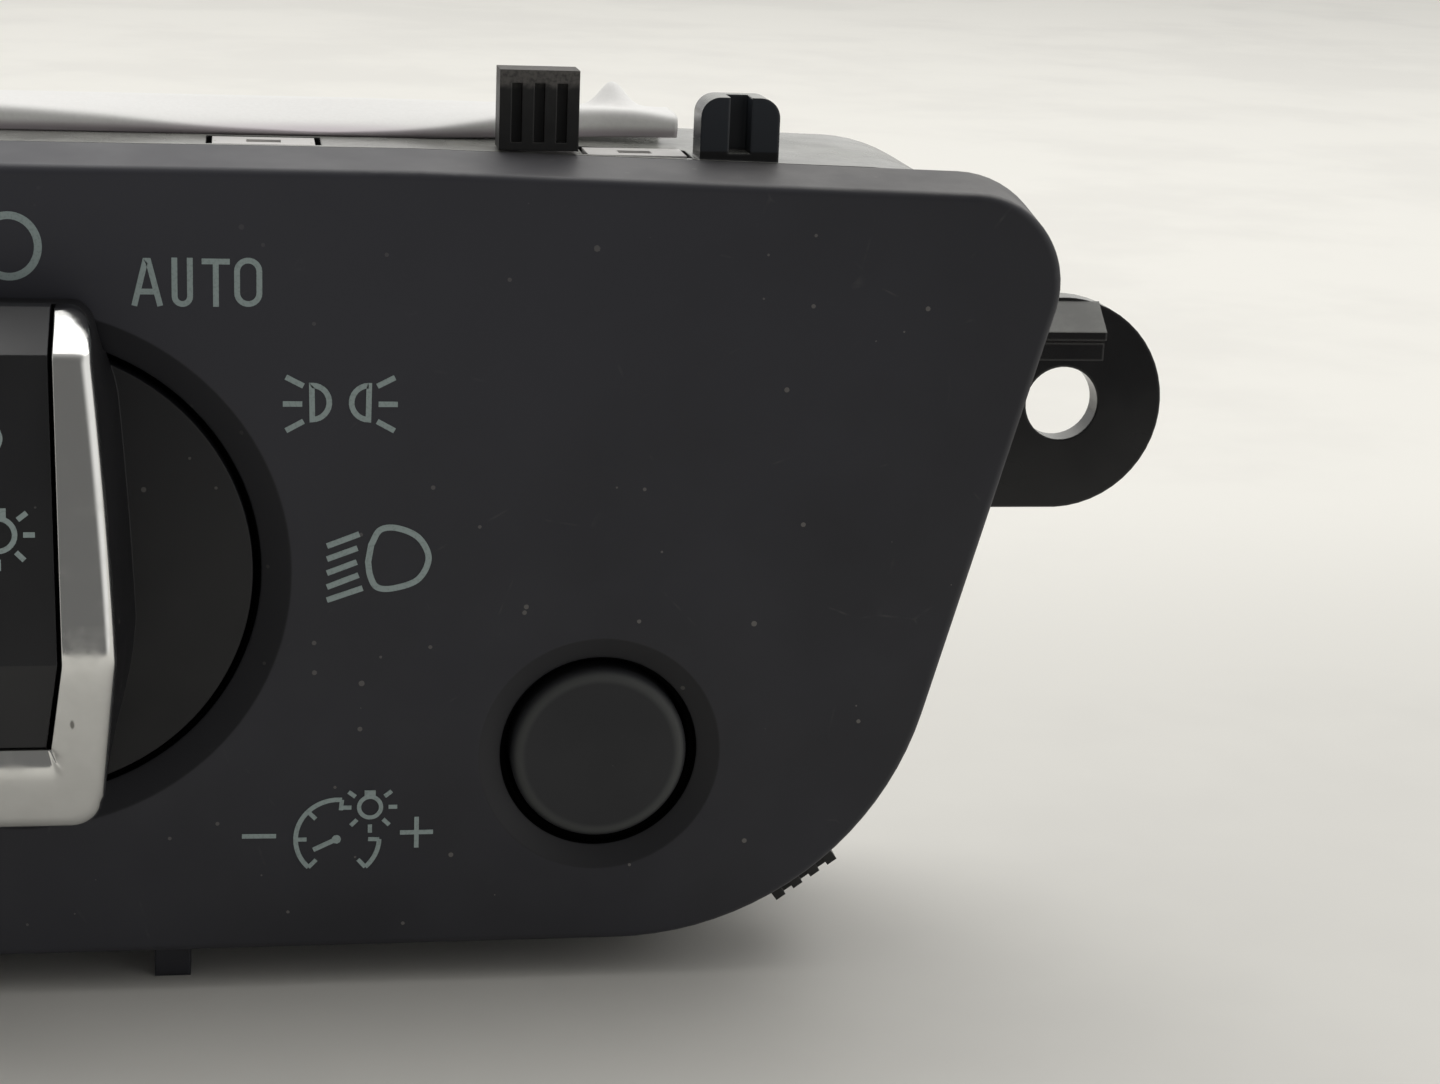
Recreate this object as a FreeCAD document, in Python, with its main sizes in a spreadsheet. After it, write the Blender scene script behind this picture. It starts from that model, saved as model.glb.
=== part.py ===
import FreeCAD, Part
import math
import os
import Sketcher
from FreeCAD import Placement, Rotation, Vector

# Headlight switch of a car: a black face plate with a turning light knob and a pop-out dimmer knob.
# Drawing axes: X to the driver's right, Y into the dashboard, Z up, in millimetres.
# The sizes are drawn from the middle of the light knob on the face. The finished pieces are then
# placed so that the middle between the two lug holes, on the lugs' front, is the origin.

doc = FreeCAD.newDocument("headlight_switch")
sheet = doc.addObject("Spreadsheet::Sheet", "sizes")
sub_parts = []


class Size:
    """A size as its number and as the sheet expression that gives that number."""

    def __init__(self, number, text):
        self.number = number
        self.text = text

    def __add__(self, other):
        other = as_size(other)
        return Size(self.number + other.number, f"({self.text} + {other.text})")

    def __sub__(self, other):
        other = as_size(other)
        return Size(self.number - other.number, f"({self.text} - {other.text})")

    def __mul__(self, other):
        other = as_size(other)
        return Size(self.number * other.number, f"({self.text} * {other.text})")

    def __truediv__(self, other):
        other = as_size(other)
        return Size(self.number / other.number, f"({self.text} / {other.text})")

    def __neg__(self):
        return Size(-self.number, f"(0 - {self.text})")


def as_size(value):
    return value if isinstance(value, Size) else Size(float(value), str(float(value)))


def root(value):
    return Size(math.sqrt(value.number), f"sqrt({value.text})")


def size(name, number, meaning):
    """One driving size: its name, number and meaning in a row of the sheet."""
    size.row += 1
    sheet.set(f"A{size.row}", name)
    sheet.set(f"B{size.row}", str(number))
    sheet.set(f"C{size.row}", meaning)
    sheet.setAlias(f"B{size.row}", name)
    return Size(float(number), f"sizes.{name}")


size.row = 0

# Outline of the face plate
face_left = size("face_left", -46.0, "left edge of the face")
face_top = size("face_top", 34.0, "top edge of the face over the light knob")
face_bottom = size("face_bottom", -34.2, "bottom edge of the face")
bow_start = size("bow_start", 33.0, "place where the top edge starts to fall to the right")
corner_x = size("corner_x", 90.4, "sharp top right corner, across")
corner_z = size("corner_z", 32.7, "sharp top right corner, up")
toe_x = size("toe_x", 72.6, "sharp bottom right corner, across")
top_right_round = size("top_right_round", 8.0, "radius of the top right corner")
toe_round = size("toe_round", 27.8, "radius of the bottom right corner")
left_round = size("left_round", 8.0, "radius of the two left corners")
face_edge_round = size("face_edge_round", 0.7, "radius along the edge of the face")

# Face plate and its skirt
wall = size("wall", 2.0, "wall of the face plate and its skirt")
skirt_depth = size("skirt_depth", 8.0, "depth of the face plate with its skirt")
skirt_flare = size("skirt_flare", 0.9, "how far the skirt widens to the back")
seam = size("seam", 0.15, "seam between skirt and rear housing")
bite = size("bite", 1.0, "how far a rib or tab reaches into the wall that carries it")
cut_reach = size("cut_reach", 6.0, "how far a cut starts outside what it cuts")

# Light knob
knob_hole = size("knob_hole", 20.0, "radius of the knob opening")
knob_dish = size("knob_dish", 22.54, "outer radius of the sunk ring round the knob")
dish_depth = size("dish_depth", 1.2, "depth of the sunk ring at the opening")
dial_gap = size("dial_gap", 0.65, "gap round the dial")
dial_face = size("dial_face", 0.6, "dial's front behind the face")
dial_thick = size("dial_thick", 2.2, "thickness of the dial")
shaft_round = size("shaft_round", 9.0, "radius of the knob shaft in its bearing")
bearing_play = size("bearing_play", 0.05, "play of a shaft in its bearing, on the radius")
shaft_end = size("shaft_end", 18.0, "back end of the knob shaft")
neck_round = size("neck_round", 7.0, "radius of the shaft's neck behind the bearing")
light_bore = size("light_bore", 3.0, "radius of the bore down the knob shaft")

# Grip across the light knob
grip_top = size("grip_top", 23.9, "top end of the grip")
grip_bottom = size("grip_bottom", -18.8, "bottom end of the grip")
grip_half = size("grip_half", 8.5, "half width at the widest place")
grip_top_half = size("grip_top_half", 6.5, "half width at the top end")
grip_toe_half = size("grip_toe_half", 7.0, "half width at the bottom end")
grip_side_bow = size("grip_side_bow", 420.0, "radius of the long bowed sides")
grip_foot = size("grip_foot", 1.1, "how much wider the grip is at its foot")
toe_share = size("toe_share", 0.4, "how much of that the grip's bottom end has")
grip_toe_round = size("grip_toe_round", 2.6, "radius of the grip's bottom corners")
grip_top_round = size("grip_top_round", 4.6, "radius of the grip's top corners")
brow_z = size("brow_z", 20.6, "height of the grip's upper ridge")
brow_out = size("brow_out", 10.5, "upper ridge in front of the face")
ridge_z = size("ridge_z", -4.0, "height of the grip's front ridge, where it is widest")
ridge_out = size("ridge_out", 13.0, "front ridge in front of the face")
top_out = size("top_out", 1.8, "top end in front of the face")
toe_out = size("toe_out", 8.4, "bottom end in front of the face")
overhang_gap = size("overhang_gap", 0.6, "gap between the grip's overhang and the face")
trim_thick = size("trim_thick", 2.2, "thickness of the bright trim")
key_half = size("key_half", 3.9, "half width of the key at its widest")
key_top_half = size("key_top_half", 3.35, "half width of the key at the top")
key_toe_half = size("key_toe_half", 2.75, "half width of the key at the bottom")
key_bottom = size("key_bottom", -11.6, "bottom end of the key")
key_gap = size("key_gap", 0.35, "gap round the key")
key_sunk = size("key_sunk", 0.5, "key's front behind the trim's front")
key_thick = size("key_thick", 3.0, "thickness of the key")
key_pocket_out = size("key_pocket_out", 2.0, "floor of the key's pocket in front of the face")
rock_room = size("rock_room", 0.9, "room behind the key's top end for its rocking")
pivot_z = size("pivot_z", 3.0, "height of the key's pivot")
pivot_out = size("pivot_out", 8.2, "key's pivot in front of the face")
pivot_round = size("pivot_round", 0.9, "radius of the key's pivot pins")
pivot_reach = size("pivot_reach", 1.2, "length of a pivot pin inside the grip")
pivot_room = size("pivot_room", 0.2, "room past the end of a pivot pin")
toe_bevel = size("toe_bevel", 2.1, "height of the bevel in the trim under the key")
toe_bevel_deep = size("toe_bevel_deep", 1.0, "depth of the bevel in the trim under the key")
mat_half = size("mat_half", 2.2, "half width of the key mat")
mat_thick = size("mat_thick", 1.0, "thickness of the key mat")
mat_short = size("mat_short", 6.5, "key mat's top end under the grip's top end")
dome_round = size("dome_round", 1.5, "radius of a switch dome")
dome_high = size("dome_high", 1.2, "height of a switch dome")
dome_reach = size("dome_reach", 8.0, "distance of a switch dome from the key's pivot")

# Knob bearing, detent and contacts
bearing_web = size("bearing_web", 5.5, "front of the bearing's web")
web_thick = size("web_thick", 1.6, "thickness of the carrier's walls")
bearing_back = size("bearing_back", 12.0, "back end of the bearing")
collar_wall = size("collar_wall", 2.0, "wall of the bearing collar")
cup_gap = size("cup_gap", 0.5, "room between the dial and the carrier's cup")
collar_gap = size("collar_gap", 0.4, "gap between the bearing and the shaft's step")
carrier_gap = size("carrier_gap", 0.25, "gap between the skirt's wall and the carrier's edge")
guide_clear = size("guide_clear", 2.0, "gap between the detent wheel and the plunger's guide")
rotor_front = size("rotor_front", 12.6, "front of the detent wheel")
rotor_thick = size("rotor_thick", 3.4, "thickness of the detent wheel")
rotor_round = size("rotor_round", 13.0, "radius of the detent wheel")
notch_step = size("notch_step", 30.0, "angle from one detent notch to the next")
notch_round = size("notch_round", 1.4, "radius of a detent notch")
notch_depth = size("notch_depth", 0.5, "depth of a detent notch")
tip_gap = size("tip_gap", 0.1, "gap between the plunger's tip and the wheel's rim")
plunger_round = size("plunger_round", 1.8, "radius of the detent plunger")
plunger_long = size("plunger_long", 6.0, "length of the detent plunger")
plunger_room = size("plunger_room", 4.0, "room for the detent spring behind the plunger")
clip_thick = size("clip_thick", 0.8, "thickness of the retaining clip")
clip_round = size("clip_round", 9.0, "outer radius of the retaining clip")
clip_mouth = size("clip_mouth", 2.5, "half width of the clip's open end")
groove_sunk = size("groove_sunk", 1.0, "depth of the clip's groove in the shaft")
nose_edge = size("nose_edge", 1.3, "bevel at the detent plunger's tip")

# Dimmer knob
dimmer_x = size("dimmer_x", 49.24, "middle of the dimmer, across")
dimmer_z = size("dimmer_z", -16.78, "middle of the dimmer, up")
dimmer_hole = size("dimmer_hole", 8.65, "radius of the dimmer opening")
dimmer_dish = size("dimmer_dish", 10.63, "outer radius of the sunk ring round the dimmer")
dimmer_dish_depth = size("dimmer_dish_depth", 0.9, "depth of the sunk ring round the dimmer")
cap_round = size("cap_round", 7.75, "radius of the dimmer cap")
cap_long = size("cap_long", 8.5, "length of the dimmer cap")
cap_edge_round = size("cap_edge_round", 0.9, "radius along the cap's front edge")
cap_wall = size("cap_wall", 1.3, "wall of the dimmer cap")
well_gap = size("well_gap", 0.45, "room round the cap in its well")
well_floor = size("well_floor", 12.0, "floor of the dimmer's well")
stem_round = size("stem_round", 4.0, "radius of the dimmer's stem")
stem_end = size("stem_end", 22.5, "back end of the dimmer's stem")
sleeve_gap = size("sleeve_gap", 0.1, "gap between the turning cap and the latch sleeve")
sleeve_thick = size("sleeve_thick", 1.0, "thickness of the latch sleeve")
spring_wire = size("spring_wire", 0.5, "thickness of the springs' wire")
encoder_front = size("encoder_front", 15.0, "front of the dimmer's encoder")
encoder_half = size("encoder_half", 6.5, "half width of the encoder's case")

# Circuit board
board_front = size("board_front", 19.0, "front of the circuit board")
board_thick = size("board_thick", 1.6, "thickness of the circuit board")
board_inset = size("board_inset", 5.0, "circuit board's edge inside the housing's edge")
hole_play = size("hole_play", 0.15, "play of a screw in its hole, on the radius")
stem_gap = size("stem_gap", 0.6, "gap round the dimmer's stem in the board")
led_half = size("led_half", 1.6, "half width of a light-emitting diode")
led_thick = size("led_thick", 1.4, "height of a light-emitting diode")
guide_round = size("guide_round", 2.2, "radius of a light guide")
guide_gap = size("guide_gap", 0.4, "gap between a diode and its light guide")

# Rear housing
housing_back = size("housing_back", 32.0, "back of the rear housing")
housing_wall = size("housing_wall", 2.0, "wall of the rear housing")
shoulder_round = size("shoulder_round", 14.0, "radius of the housing's top right corner")
back_edge = size("back_edge", 1.2, "bevel along the housing's back edge")
post_round = size("post_round", 3.4, "radius of the screw posts")
screw_round = size("screw_round", 1.4, "radius of the housing screws")
screw_head = size("screw_head", 2.8, "radius of a screw head")
screw_head_thick = size("screw_head_thick", 1.8, "height of a screw head")
screw_seat = size("screw_seat", 26.0, "screw head's seat in its post")
screw_tip = size("screw_tip", 9.0, "front end of the housing screws")
tip_room = size("tip_room", 1.0, "room past the tip of a housing screw")
head_room = size("head_room", 0.2, "room round a screw head in its post")
post_inset = size("post_inset", 8.0, "screw posts inside the housing's edge")
toe_post = size("toe_post", 12.6, "bottom right screw post inside the face's bottom right corner")
lug_x = size("lug_x", 92.5, "right lug hole, across")
lug_z = size("lug_z", 12.2, "lug holes, up")
lug_span = size("lug_span", 144.0, "distance between the two lug holes")
lug_hole = size("lug_hole", 3.4, "radius of the lug holes")
lug_round = size("lug_round", 9.8, "outer radius of the lugs")
lug_front = size("lug_front", 12.0, "front of the lugs")
lug_thick = size("lug_thick", 2.5, "thickness of the lugs")
gusset_out = size("gusset_out", 3.2, "how far the lug's gusset stands out to the front")
gusset_low = size("gusset_low", 4.5, "underside of the gusset over the lug hole's middle")
gusset_end = size("gusset_end", 2.8, "gusset's end past the lug hole's middle")
gusset_inset = size("gusset_inset", 0.3, "gusset's top under the lug's top")
ledge_top = size("ledge_top", 2.7, "top of the gusset's front over its underside")
ledge_edge = size("ledge_edge", 2.0, "lower edge of the gusset's nose over its underside")
ledge_low = size("ledge_low", 1.6, "gusset's step over its underside")
ledge_step = size("ledge_step", 0.6, "depth of the gusset's step")
arc_slack = size("arc_slack", 0.01, "what an end arc's radius is over its least")
fork_left = size("fork_left", 57.5, "left side of the fork guide")
fork_wide = size("fork_wide", 6.9, "width of the fork guide")
fork_slot = size("fork_slot", 1.9, "width of the fork guide's slot")
fork_high = size("fork_high", 4.8, "height of the fork guide")
fork_deep = size("fork_deep", 4.0, "depth of the fork guide")
fork_round = size("fork_round", 1.7, "radius of the fork guide's outer corners")
fork_back = size("fork_back", 0.4, "fork guide's front behind the housing's front")
fork_cut = size("fork_cut", 2.6, "depth of the fork guide's slot")
foot_low = size("foot_low", 3.6, "height of the guide ribs under the face's edge")
rib_thick = size("rib_thick", 2.0, "thickness of the guide ribs")
rib_short = size("rib_short", 2.0, "guide ribs' end before the housing's back")
left_rib_x = size("left_rib_x", -15.0, "left guide rib, across")
right_rib_x = size("right_rib_x", 56.0, "right guide rib, across")
tab_left = size("tab_left", 10.7, "left side of the skirt's bottom tab")
tab_wide = size("tab_wide", 3.1, "width of the skirt's bottom tab")
tab_front = size("tab_front", 3.0, "front of the skirt's bottom tab")
tab_deep = size("tab_deep", 3.2, "depth of the skirt's bottom tab")

# Snap tongues of the carrier in windows of the housing's top
window_front = size("window_front", 9.0, "front of the snap windows")
window_deep = size("window_deep", 5.2, "depth of the snap windows")
window_wide = size("window_wide", 9.6, "width of the snap windows")
left_window = size("left_window", 15.6, "left side of the left snap window")
right_window = size("right_window", 47.4, "left side of the right snap window")
tongue_gap = size("tongue_gap", 0.5, "gap round a snap tongue in its window")
tongue_sunk = size("tongue_sunk", 0.4, "tongue's top under the housing's top")
tongue_play = size("tongue_play", 0.9, "gap between the housing's wall and the tongue's arm")
tongue_slot_wide = size("tongue_slot_wide", 2.9, "width of the slot in a snap tongue")
tongue_slot_deep = size("tongue_slot_deep", 1.7, "depth of the slot in a snap tongue")

# Plug socket
socket_x = size("socket_x", 14.0, "middle of the plug socket, across")
socket_z = size("socket_z", -2.0, "middle of the plug socket, up")
socket_half = size("socket_half", 17.0, "half width inside the plug socket")
socket_half_high = size("socket_half_high", 6.5, "half height inside the plug socket")
socket_long = size("socket_long", 13.0, "length of the plug socket behind the housing")
socket_wall = size("socket_wall", 1.6, "wall of the plug socket")
pin_pitch = size("pin_pitch", 5.0, "distance from one contact pin to the next")
pin_half = size("pin_half", 0.5, "half width of a contact pin")
pin_end = size("pin_end", 39.0, "back end of the contact pins")
header_edge = size("header_edge", 2.2, "pin header's edge outside the outer pins")
pins_across = 6
pin_rows = 2

# Ribbed buffers
buffer_left = size("buffer_left", 40.1, "left side of the top buffer")
buffer_wide = size("buffer_wide", 6.8, "width of a buffer")
buffer_high = size("buffer_high", 6.8, "height of the top buffer")
buffer_deep = size("buffer_deep", 3.6, "depth of a buffer")
buffer_cap = size("buffer_cap", 1.1, "height of the smooth cap over the ribs")
buffer_foot = size("buffer_foot", 0.7, "height of the smooth foot under the ribs")
groove_wide = size("groove_wide", 0.9, "width of a groove between two ribs")
groove_deep = size("groove_deep", 0.8, "depth of a groove between two ribs")
corner_buffer_high = size("corner_buffer_high", 3.4, "height of the corner buffer")
corner_buffer_angle = size("corner_buffer_angle", 54.0, "corner buffer's angle below level")
ribs = 4

# Paper strip on the top
paper_left = size("paper_left", -30.0, "left end of the paper strip")
paper_right = size("paper_right", 57.0, "right end of the paper strip")
paper_front = size("paper_front", 14.6, "front edge of the paper strip")
paper_back = size("paper_back", 30.0, "back edge of the paper strip")
paper_rise = size("paper_rise", 2.4, "height of the paper strip's curl")
paper_thick = size("paper_thick", 0.25, "thickness of the paper strip")

side_lean = (corner_x - toe_x) / (corner_z - face_bottom)
side_stretch = root(side_lean * side_lean + 1)
dial_round = knob_hole - dial_gap
board_back = board_front + board_thick
housing_front = skirt_depth + seam
housing_top = face_top + skirt_flare
housing_bottom = face_bottom - skirt_flare
floor_level = face_bottom - foot_low
left_lug_x = lug_x - lug_span
bearing_bore = shaft_round + bearing_play
plate_back = wall + web_thick
carrier_inset = wall + carrier_gap


def bind(thing, **properties):
    """Sets each property and ties it to the sheet where its value is a Size."""
    for name, value in properties.items():
        if isinstance(value, Size):
            setattr(thing, name, value.number)
            thing.setExpression(name, value.text)
        else:
            setattr(thing, name, value)
    return thing


def bind_place(thing, path, x, y, z):
    """Ties the base of a placement, such as Placement.Base, to three sizes."""
    for axis, value in zip("xyz", (x, y, z)):
        thing.setExpression(f"{path}.{axis}", as_size(value).text)


def sub_part(thing, label, place=(0, 0, 0)):
    """Names a finished piece and places it about the middle of the lug holes."""
    thing.Label = label
    across, depth, up = (as_size(value) for value in place)
    middle = lug_x - lug_span / 2
    bind_place(thing, "Placement.Base", across - middle, depth - lug_front, up - lug_z)
    sub_parts.append(thing)
    return thing


def body(label):
    return sub_part(doc.addObject("PartDesign::Body", label), label)


def sketch_on(owner, role, offset=None):
    """A sketch on one of the body's own planes, moved along the plane's normal."""
    sketch = owner.newObject("Sketcher::SketchObject", "outline")
    plane = next(item for item in owner.Origin.OriginFeatures if item.Role == role)
    sketch.AttachmentSupport = [(plane, "")]
    sketch.MapMode = "FlatFace"
    if offset is not None:
        sketch.AttachmentOffset = Placement(Vector(0, 0, as_size(offset).number), Rotation())
        sketch.setExpression("AttachmentOffset.Base.z", as_size(offset).text)
    return sketch


def front_sketch(owner, depth):
    """A sketch of X and Z, at this depth behind the face; its normal points to the front."""
    return sketch_on(owner, "XZ_Plane", -as_size(depth))


def side_sketch(owner, across):
    """A sketch of Y and Z, at this place across; its normal points to the right."""
    return sketch_on(owner, "YZ_Plane", across)


def top_sketch(owner, height):
    """A sketch of X and Y, at this height; its normal points up."""
    return sketch_on(owner, "XY_Plane", height)


def tie(sketch, kind, references, value):
    """Adds one dimension to a sketch and ties it to its size."""
    value = as_size(value)
    index = sketch.addConstraint(Sketcher.Constraint(kind, *references, value.number))
    sketch.setExpression(f"Constraints[{index}]", value.text)


def tie_point(sketch, item, end, point):
    tie(sketch, "DistanceX", (-1, 1, item, end), point[0])
    tie(sketch, "DistanceY", (-1, 1, item, end), point[1])


def circle(sketch, across, up, radius):
    """A circle tied by its centre and radius."""
    centre = Vector(as_size(across).number, as_size(up).number, 0)
    item = sketch.addGeometry(Part.Circle(centre, Vector(0, 0, 1), as_size(radius).number))
    tie(sketch, "Radius", (item,), radius)
    tie_point(sketch, item, 3, (across, up))
    return sketch


def bow(start, end, radius):
    """The short arc from start to end; its centre is on the left if the radius is positive."""
    half = (end - start) * 0.5
    reach = math.sqrt(radius * radius - half.Length ** 2) * math.copysign(1, radius)
    left = Vector(-half.y, half.x, 0).normalize()
    centre = start + half + left * reach
    first, last = (start, end) if radius > 0 else (end, start)
    angles = [math.atan2(point.y - centre.y, point.x - centre.x) for point in (first, last)]
    return Part.ArcOfCircle(Part.Circle(centre, Vector(0, 0, 1), abs(radius)), *angles)


def corner_arc(before, corner, after, radius):
    """The arc that rounds a corner, its ends in the outline's order, and whether it turns left."""
    back, ahead = (before - corner).normalize(), (after - corner).normalize()
    half_turn = back.getAngle(ahead) / 2
    reach = radius / math.tan(half_turn)
    centre = corner + (back + ahead).normalize() * (radius / math.sin(half_turn))
    first, last = corner + back * reach, corner + ahead * reach
    left = back.cross(ahead).z < 0
    ends = (first, last) if left else (last, first)
    angles = [math.atan2(point.y - centre.y, point.x - centre.x) for point in ends]
    return Part.ArcOfCircle(Part.Circle(centre, Vector(0, 0, 1), radius), *angles), first, last, left


def outline(sketch, points, bows=None, rounds=None):
    """A closed outline through points, anticlockwise, with each corner tied to its sizes.

    bows gives the radius of the arc that takes the place of the run after a point; a positive
    one bulges outwards. rounds gives the radius of the arc that rounds the corner at a point.
    """
    bows, rounds = bows or {}, rounds or {}
    count = len(points)
    spots = [Vector(as_size(a).number, as_size(b).number, 0) for a, b in points]
    leaving, reaching = list(spots), list(spots)
    arcs = {}
    for index, radius in rounds.items():
        arc, first, last, left = corner_arc(
            spots[index - 1], spots[index], spots[(index + 1) % count], as_size(radius).number
        )
        item = sketch.addGeometry(arc)
        tie(sketch, "Radius", (item,), radius)
        arcs[index] = (item, 1, 2) if left else (item, 2, 1)
        reaching[index], leaving[index] = first, last
    runs = []
    for index in range(count):
        start, end = leaving[index], reaching[(index + 1) % count]
        if index in bows:
            radius = as_size(bows[index])
            forward = radius.number > 0
            item = sketch.addGeometry(bow(start, end, radius.number))
            tie(sketch, "Radius", (item,), radius if forward else -radius)
            runs.append((item, 1, 2) if forward else (item, 2, 1))
        else:
            runs.append((sketch.addGeometry(Part.LineSegment(start, end)), 1, 2))
    for index, point in enumerate(points):
        before, after = runs[index - 1], runs[index]
        if index in arcs:
            arc = arcs[index]
            sketch.addConstraint(Sketcher.Constraint("Tangent", before[0], before[2], arc[0], arc[1]))
            sketch.addConstraint(Sketcher.Constraint("Tangent", arc[0], arc[2], after[0], after[1]))
            mark = sketch.addGeometry(Part.Point(spots[index]), True)
            sketch.addConstraint(Sketcher.Constraint("PointOnObject", mark, 1, before[0]))
            sketch.addConstraint(Sketcher.Constraint("PointOnObject", mark, 1, after[0]))
            tie_point(sketch, mark, 1, point)
        else:
            sketch.addConstraint(Sketcher.Constraint("Coincident", before[0], before[2], after[0], after[1]))
            tie_point(sketch, after[0], after[1], point)
    return sketch


def rectangle(sketch, left, right, low, high):
    return outline(sketch, [(left, low), (right, low), (right, high), (left, high)])


def pad(owner, sketch, length, backwards=True, taper=None):
    """Fills a sketch by a length; backwards is against the sketch's normal."""
    feature = owner.newObject("PartDesign::Pad", "pad")
    feature.Profile = sketch
    bind(feature, Length=length, Reversed=backwards)
    if taper is not None:
        bind(feature, TaperAngle=taper)
    sketch.Visibility = False
    return feature


def pocket(owner, sketch, length=None, backwards=True):
    """Cuts a sketch into the body by a length, or through all; backwards is against the normal."""
    doc.recompute()
    before = owner.Shape.Volume
    feature = owner.newObject("PartDesign::Pocket", "pocket")
    feature.Profile = sketch
    bind(feature, Reversed=not backwards)
    if length is None:
        feature.Type = "ThroughAll"
    else:
        bind(feature, Length=length)
    sketch.Visibility = False
    doc.recompute()
    if owner.Shape.Volume >= before:
        raise ValueError(f"a pocket of {owner.Label} cuts nothing")
    return feature


def picked_edges(owner, chosen):
    """The body's last feature with the names of the edges that the test picks."""
    doc.recompute()
    base = owner.Tip
    names = [f"Edge{number}" for number, edge in enumerate(base.Shape.Edges, 1) if chosen(edge)]
    if not names:
        raise ValueError(f"no edge of {owner.Label} is picked")
    return base, names


def round_off(owner, radius, chosen):
    """Rounds the edges of the body that the test picks."""
    edges = picked_edges(owner, chosen)
    feature = owner.newObject("PartDesign::Fillet", "round")
    feature.Base = edges
    bind(feature, Radius=radius)
    return feature


def bevel(owner, width, chosen):
    """Bevels the edges of the body that the test picks."""
    edges = picked_edges(owner, chosen)
    feature = owner.newObject("PartDesign::Chamfer", "bevel")
    feature.Base = edges
    bind(feature, Size=width)
    return feature


def corner_at(across, up, reach=0.6):
    """A test for edges that run to the back from this corner of a front outline."""
    spot = (as_size(across).number, as_size(up).number)

    def chosen(edge):
        first, last = edge.Vertexes[0].Point, edge.Vertexes[-1].Point
        runs_back = abs(first.y - last.y) > 0.8 * first.distanceToPoint(last) > 0
        near = [math.hypot(point.x - spot[0], point.z - spot[1]) for point in (first, last)]
        return runs_back and min(near) < reach

    return chosen


def edge_at_depth(depth, reach=0.01):
    """A test for edges that lie at one depth all along."""
    level = as_size(depth).number

    def chosen(edge):
        box = edge.BoundBox
        return abs(box.YMin - level) < reach and abs(box.YMax - level) < reach

    return chosen


def corners_of_face(grow):
    """The five corners of the face's outline, all moved outwards by one distance."""
    grow = as_size(grow)
    return [
        (face_left - grow, face_bottom - grow),
        (toe_x + grow * (side_stretch - side_lean), face_bottom - grow),
        (corner_x + grow * (side_stretch + side_lean), corner_z + grow),
        (bow_start, face_top + grow),
        (face_left - grow, face_top + grow),
    ]


def face_outline(sketch, grow, shoulder=top_right_round):
    """The face's outline with its rounded corners, all moved outwards by one distance."""
    grow = as_size(grow)
    corner_rounds = {0: left_round + grow, 1: toe_round + grow, 2: shoulder + grow, 4: left_round + grow}
    return outline(sketch, corners_of_face(grow), rounds=corner_rounds)


def face_block(owner, grow, front, back, shoulder=top_right_round, taper=None):
    """A slab with the face's outline moved outwards by grow."""
    sketch = face_outline(front_sketch(owner, front), grow, shoulder)
    return pad(owner, sketch, as_size(back) - front, taper=taper)


def side_at(up, grow):
    """Place of the leaning right side at a height, moved outwards by grow."""
    return toe_x + (as_size(up) - face_bottom) * side_lean + as_size(grow) * side_stretch


def block(owner, left, right, front, back, low, high):
    """Adds a rectangular block to a body."""
    sketch = rectangle(front_sketch(owner, front), left, right, low, high)
    return pad(owner, sketch, as_size(back) - front)


def disc(owner, across, up, radius, front, back):
    """Adds a disc that faces the front to a body."""
    return pad(owner, circle(front_sketch(owner, front), across, up, radius), as_size(back) - front)


def bore(owner, across, up, radius, front, back):
    """Drills a body from one depth to another."""
    return pocket(owner, circle(front_sketch(owner, front), across, up, radius), as_size(back) - front)


def cuboid(left, right, front, back, low, high):
    """A loose box for groups of like small pieces."""
    left, front, low = as_size(left), as_size(front), as_size(low)
    item = doc.addObject("Part::Box", "cuboid")
    bind(item, Length=as_size(right) - left, Width=as_size(back) - front, Height=as_size(high) - low)
    bind_place(item, "Placement.Base", left, front, low)
    return item


def group(label, items):
    """Like pieces that share one name."""
    compound = doc.addObject("Part::Compound", label)
    compound.Links = items
    return sub_part(compound, label)


def coil(radius, wire, length, turns, steps=14, sides=6):
    """A coil spring along Z from 0 to its length, its wire drawn with six flat sides."""
    rings = []
    for step in range(round(turns * steps) + 1):
        turn = 2 * math.pi * step / steps
        level = wire / 2 + (length - wire) * step / (turns * steps)
        ring = []
        for side in range(sides):
            around = 2 * math.pi * side / sides
            out = radius + wire / 2 * math.cos(around)
            high = level + wire / 2 * math.sin(around)
            ring.append(Vector(out * math.cos(turn), out * math.sin(turn), high))
        rings.append(ring)
    corners = [rings[0][::-1], rings[-1]]
    for near, far in zip(rings, rings[1:]):
        for side in range(sides):
            after = (side + 1) % sides
            corners.append([near[side], far[side], far[after]])
            corners.append([near[side], far[after], near[after]])
    faces = []
    for points in corners:
        faces.append(Part.Face(Part.makePolygon(points + points[:1])))
    spring = Part.makeSolid(Part.makeShell(faces))
    if spring.Volume < 0:
        spring.reverse()
    return spring


# Front bezel: moulded face plate with a flared skirt, two openings with sunk rings, a bottom tab
bezel = body("front_bezel")
flare_angle = Size(
    math.degrees(math.atan(skirt_flare.number / skirt_depth.number)),
    f"atan({skirt_flare.text} / {skirt_depth.text})",
)
face_block(bezel, 0, Size(0.0, "0"), skirt_depth, taper=flare_angle)
inside = bezel.newObject("PartDesign::SubtractiveLoft", "inside")
inside.Profile = face_outline(front_sketch(bezel, skirt_depth), skirt_flare - wall)
inside.Sections = [
    face_outline(front_sketch(bezel, wall), skirt_flare * wall / skirt_depth - wall)
]
inside.Ruled = True
round_off(bezel, face_edge_round, edge_at_depth(0))
bore(bezel, 0, 0, knob_hole, 0, wall)
bore(bezel, dimmer_x, dimmer_z, dimmer_hole, 0, wall)


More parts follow.
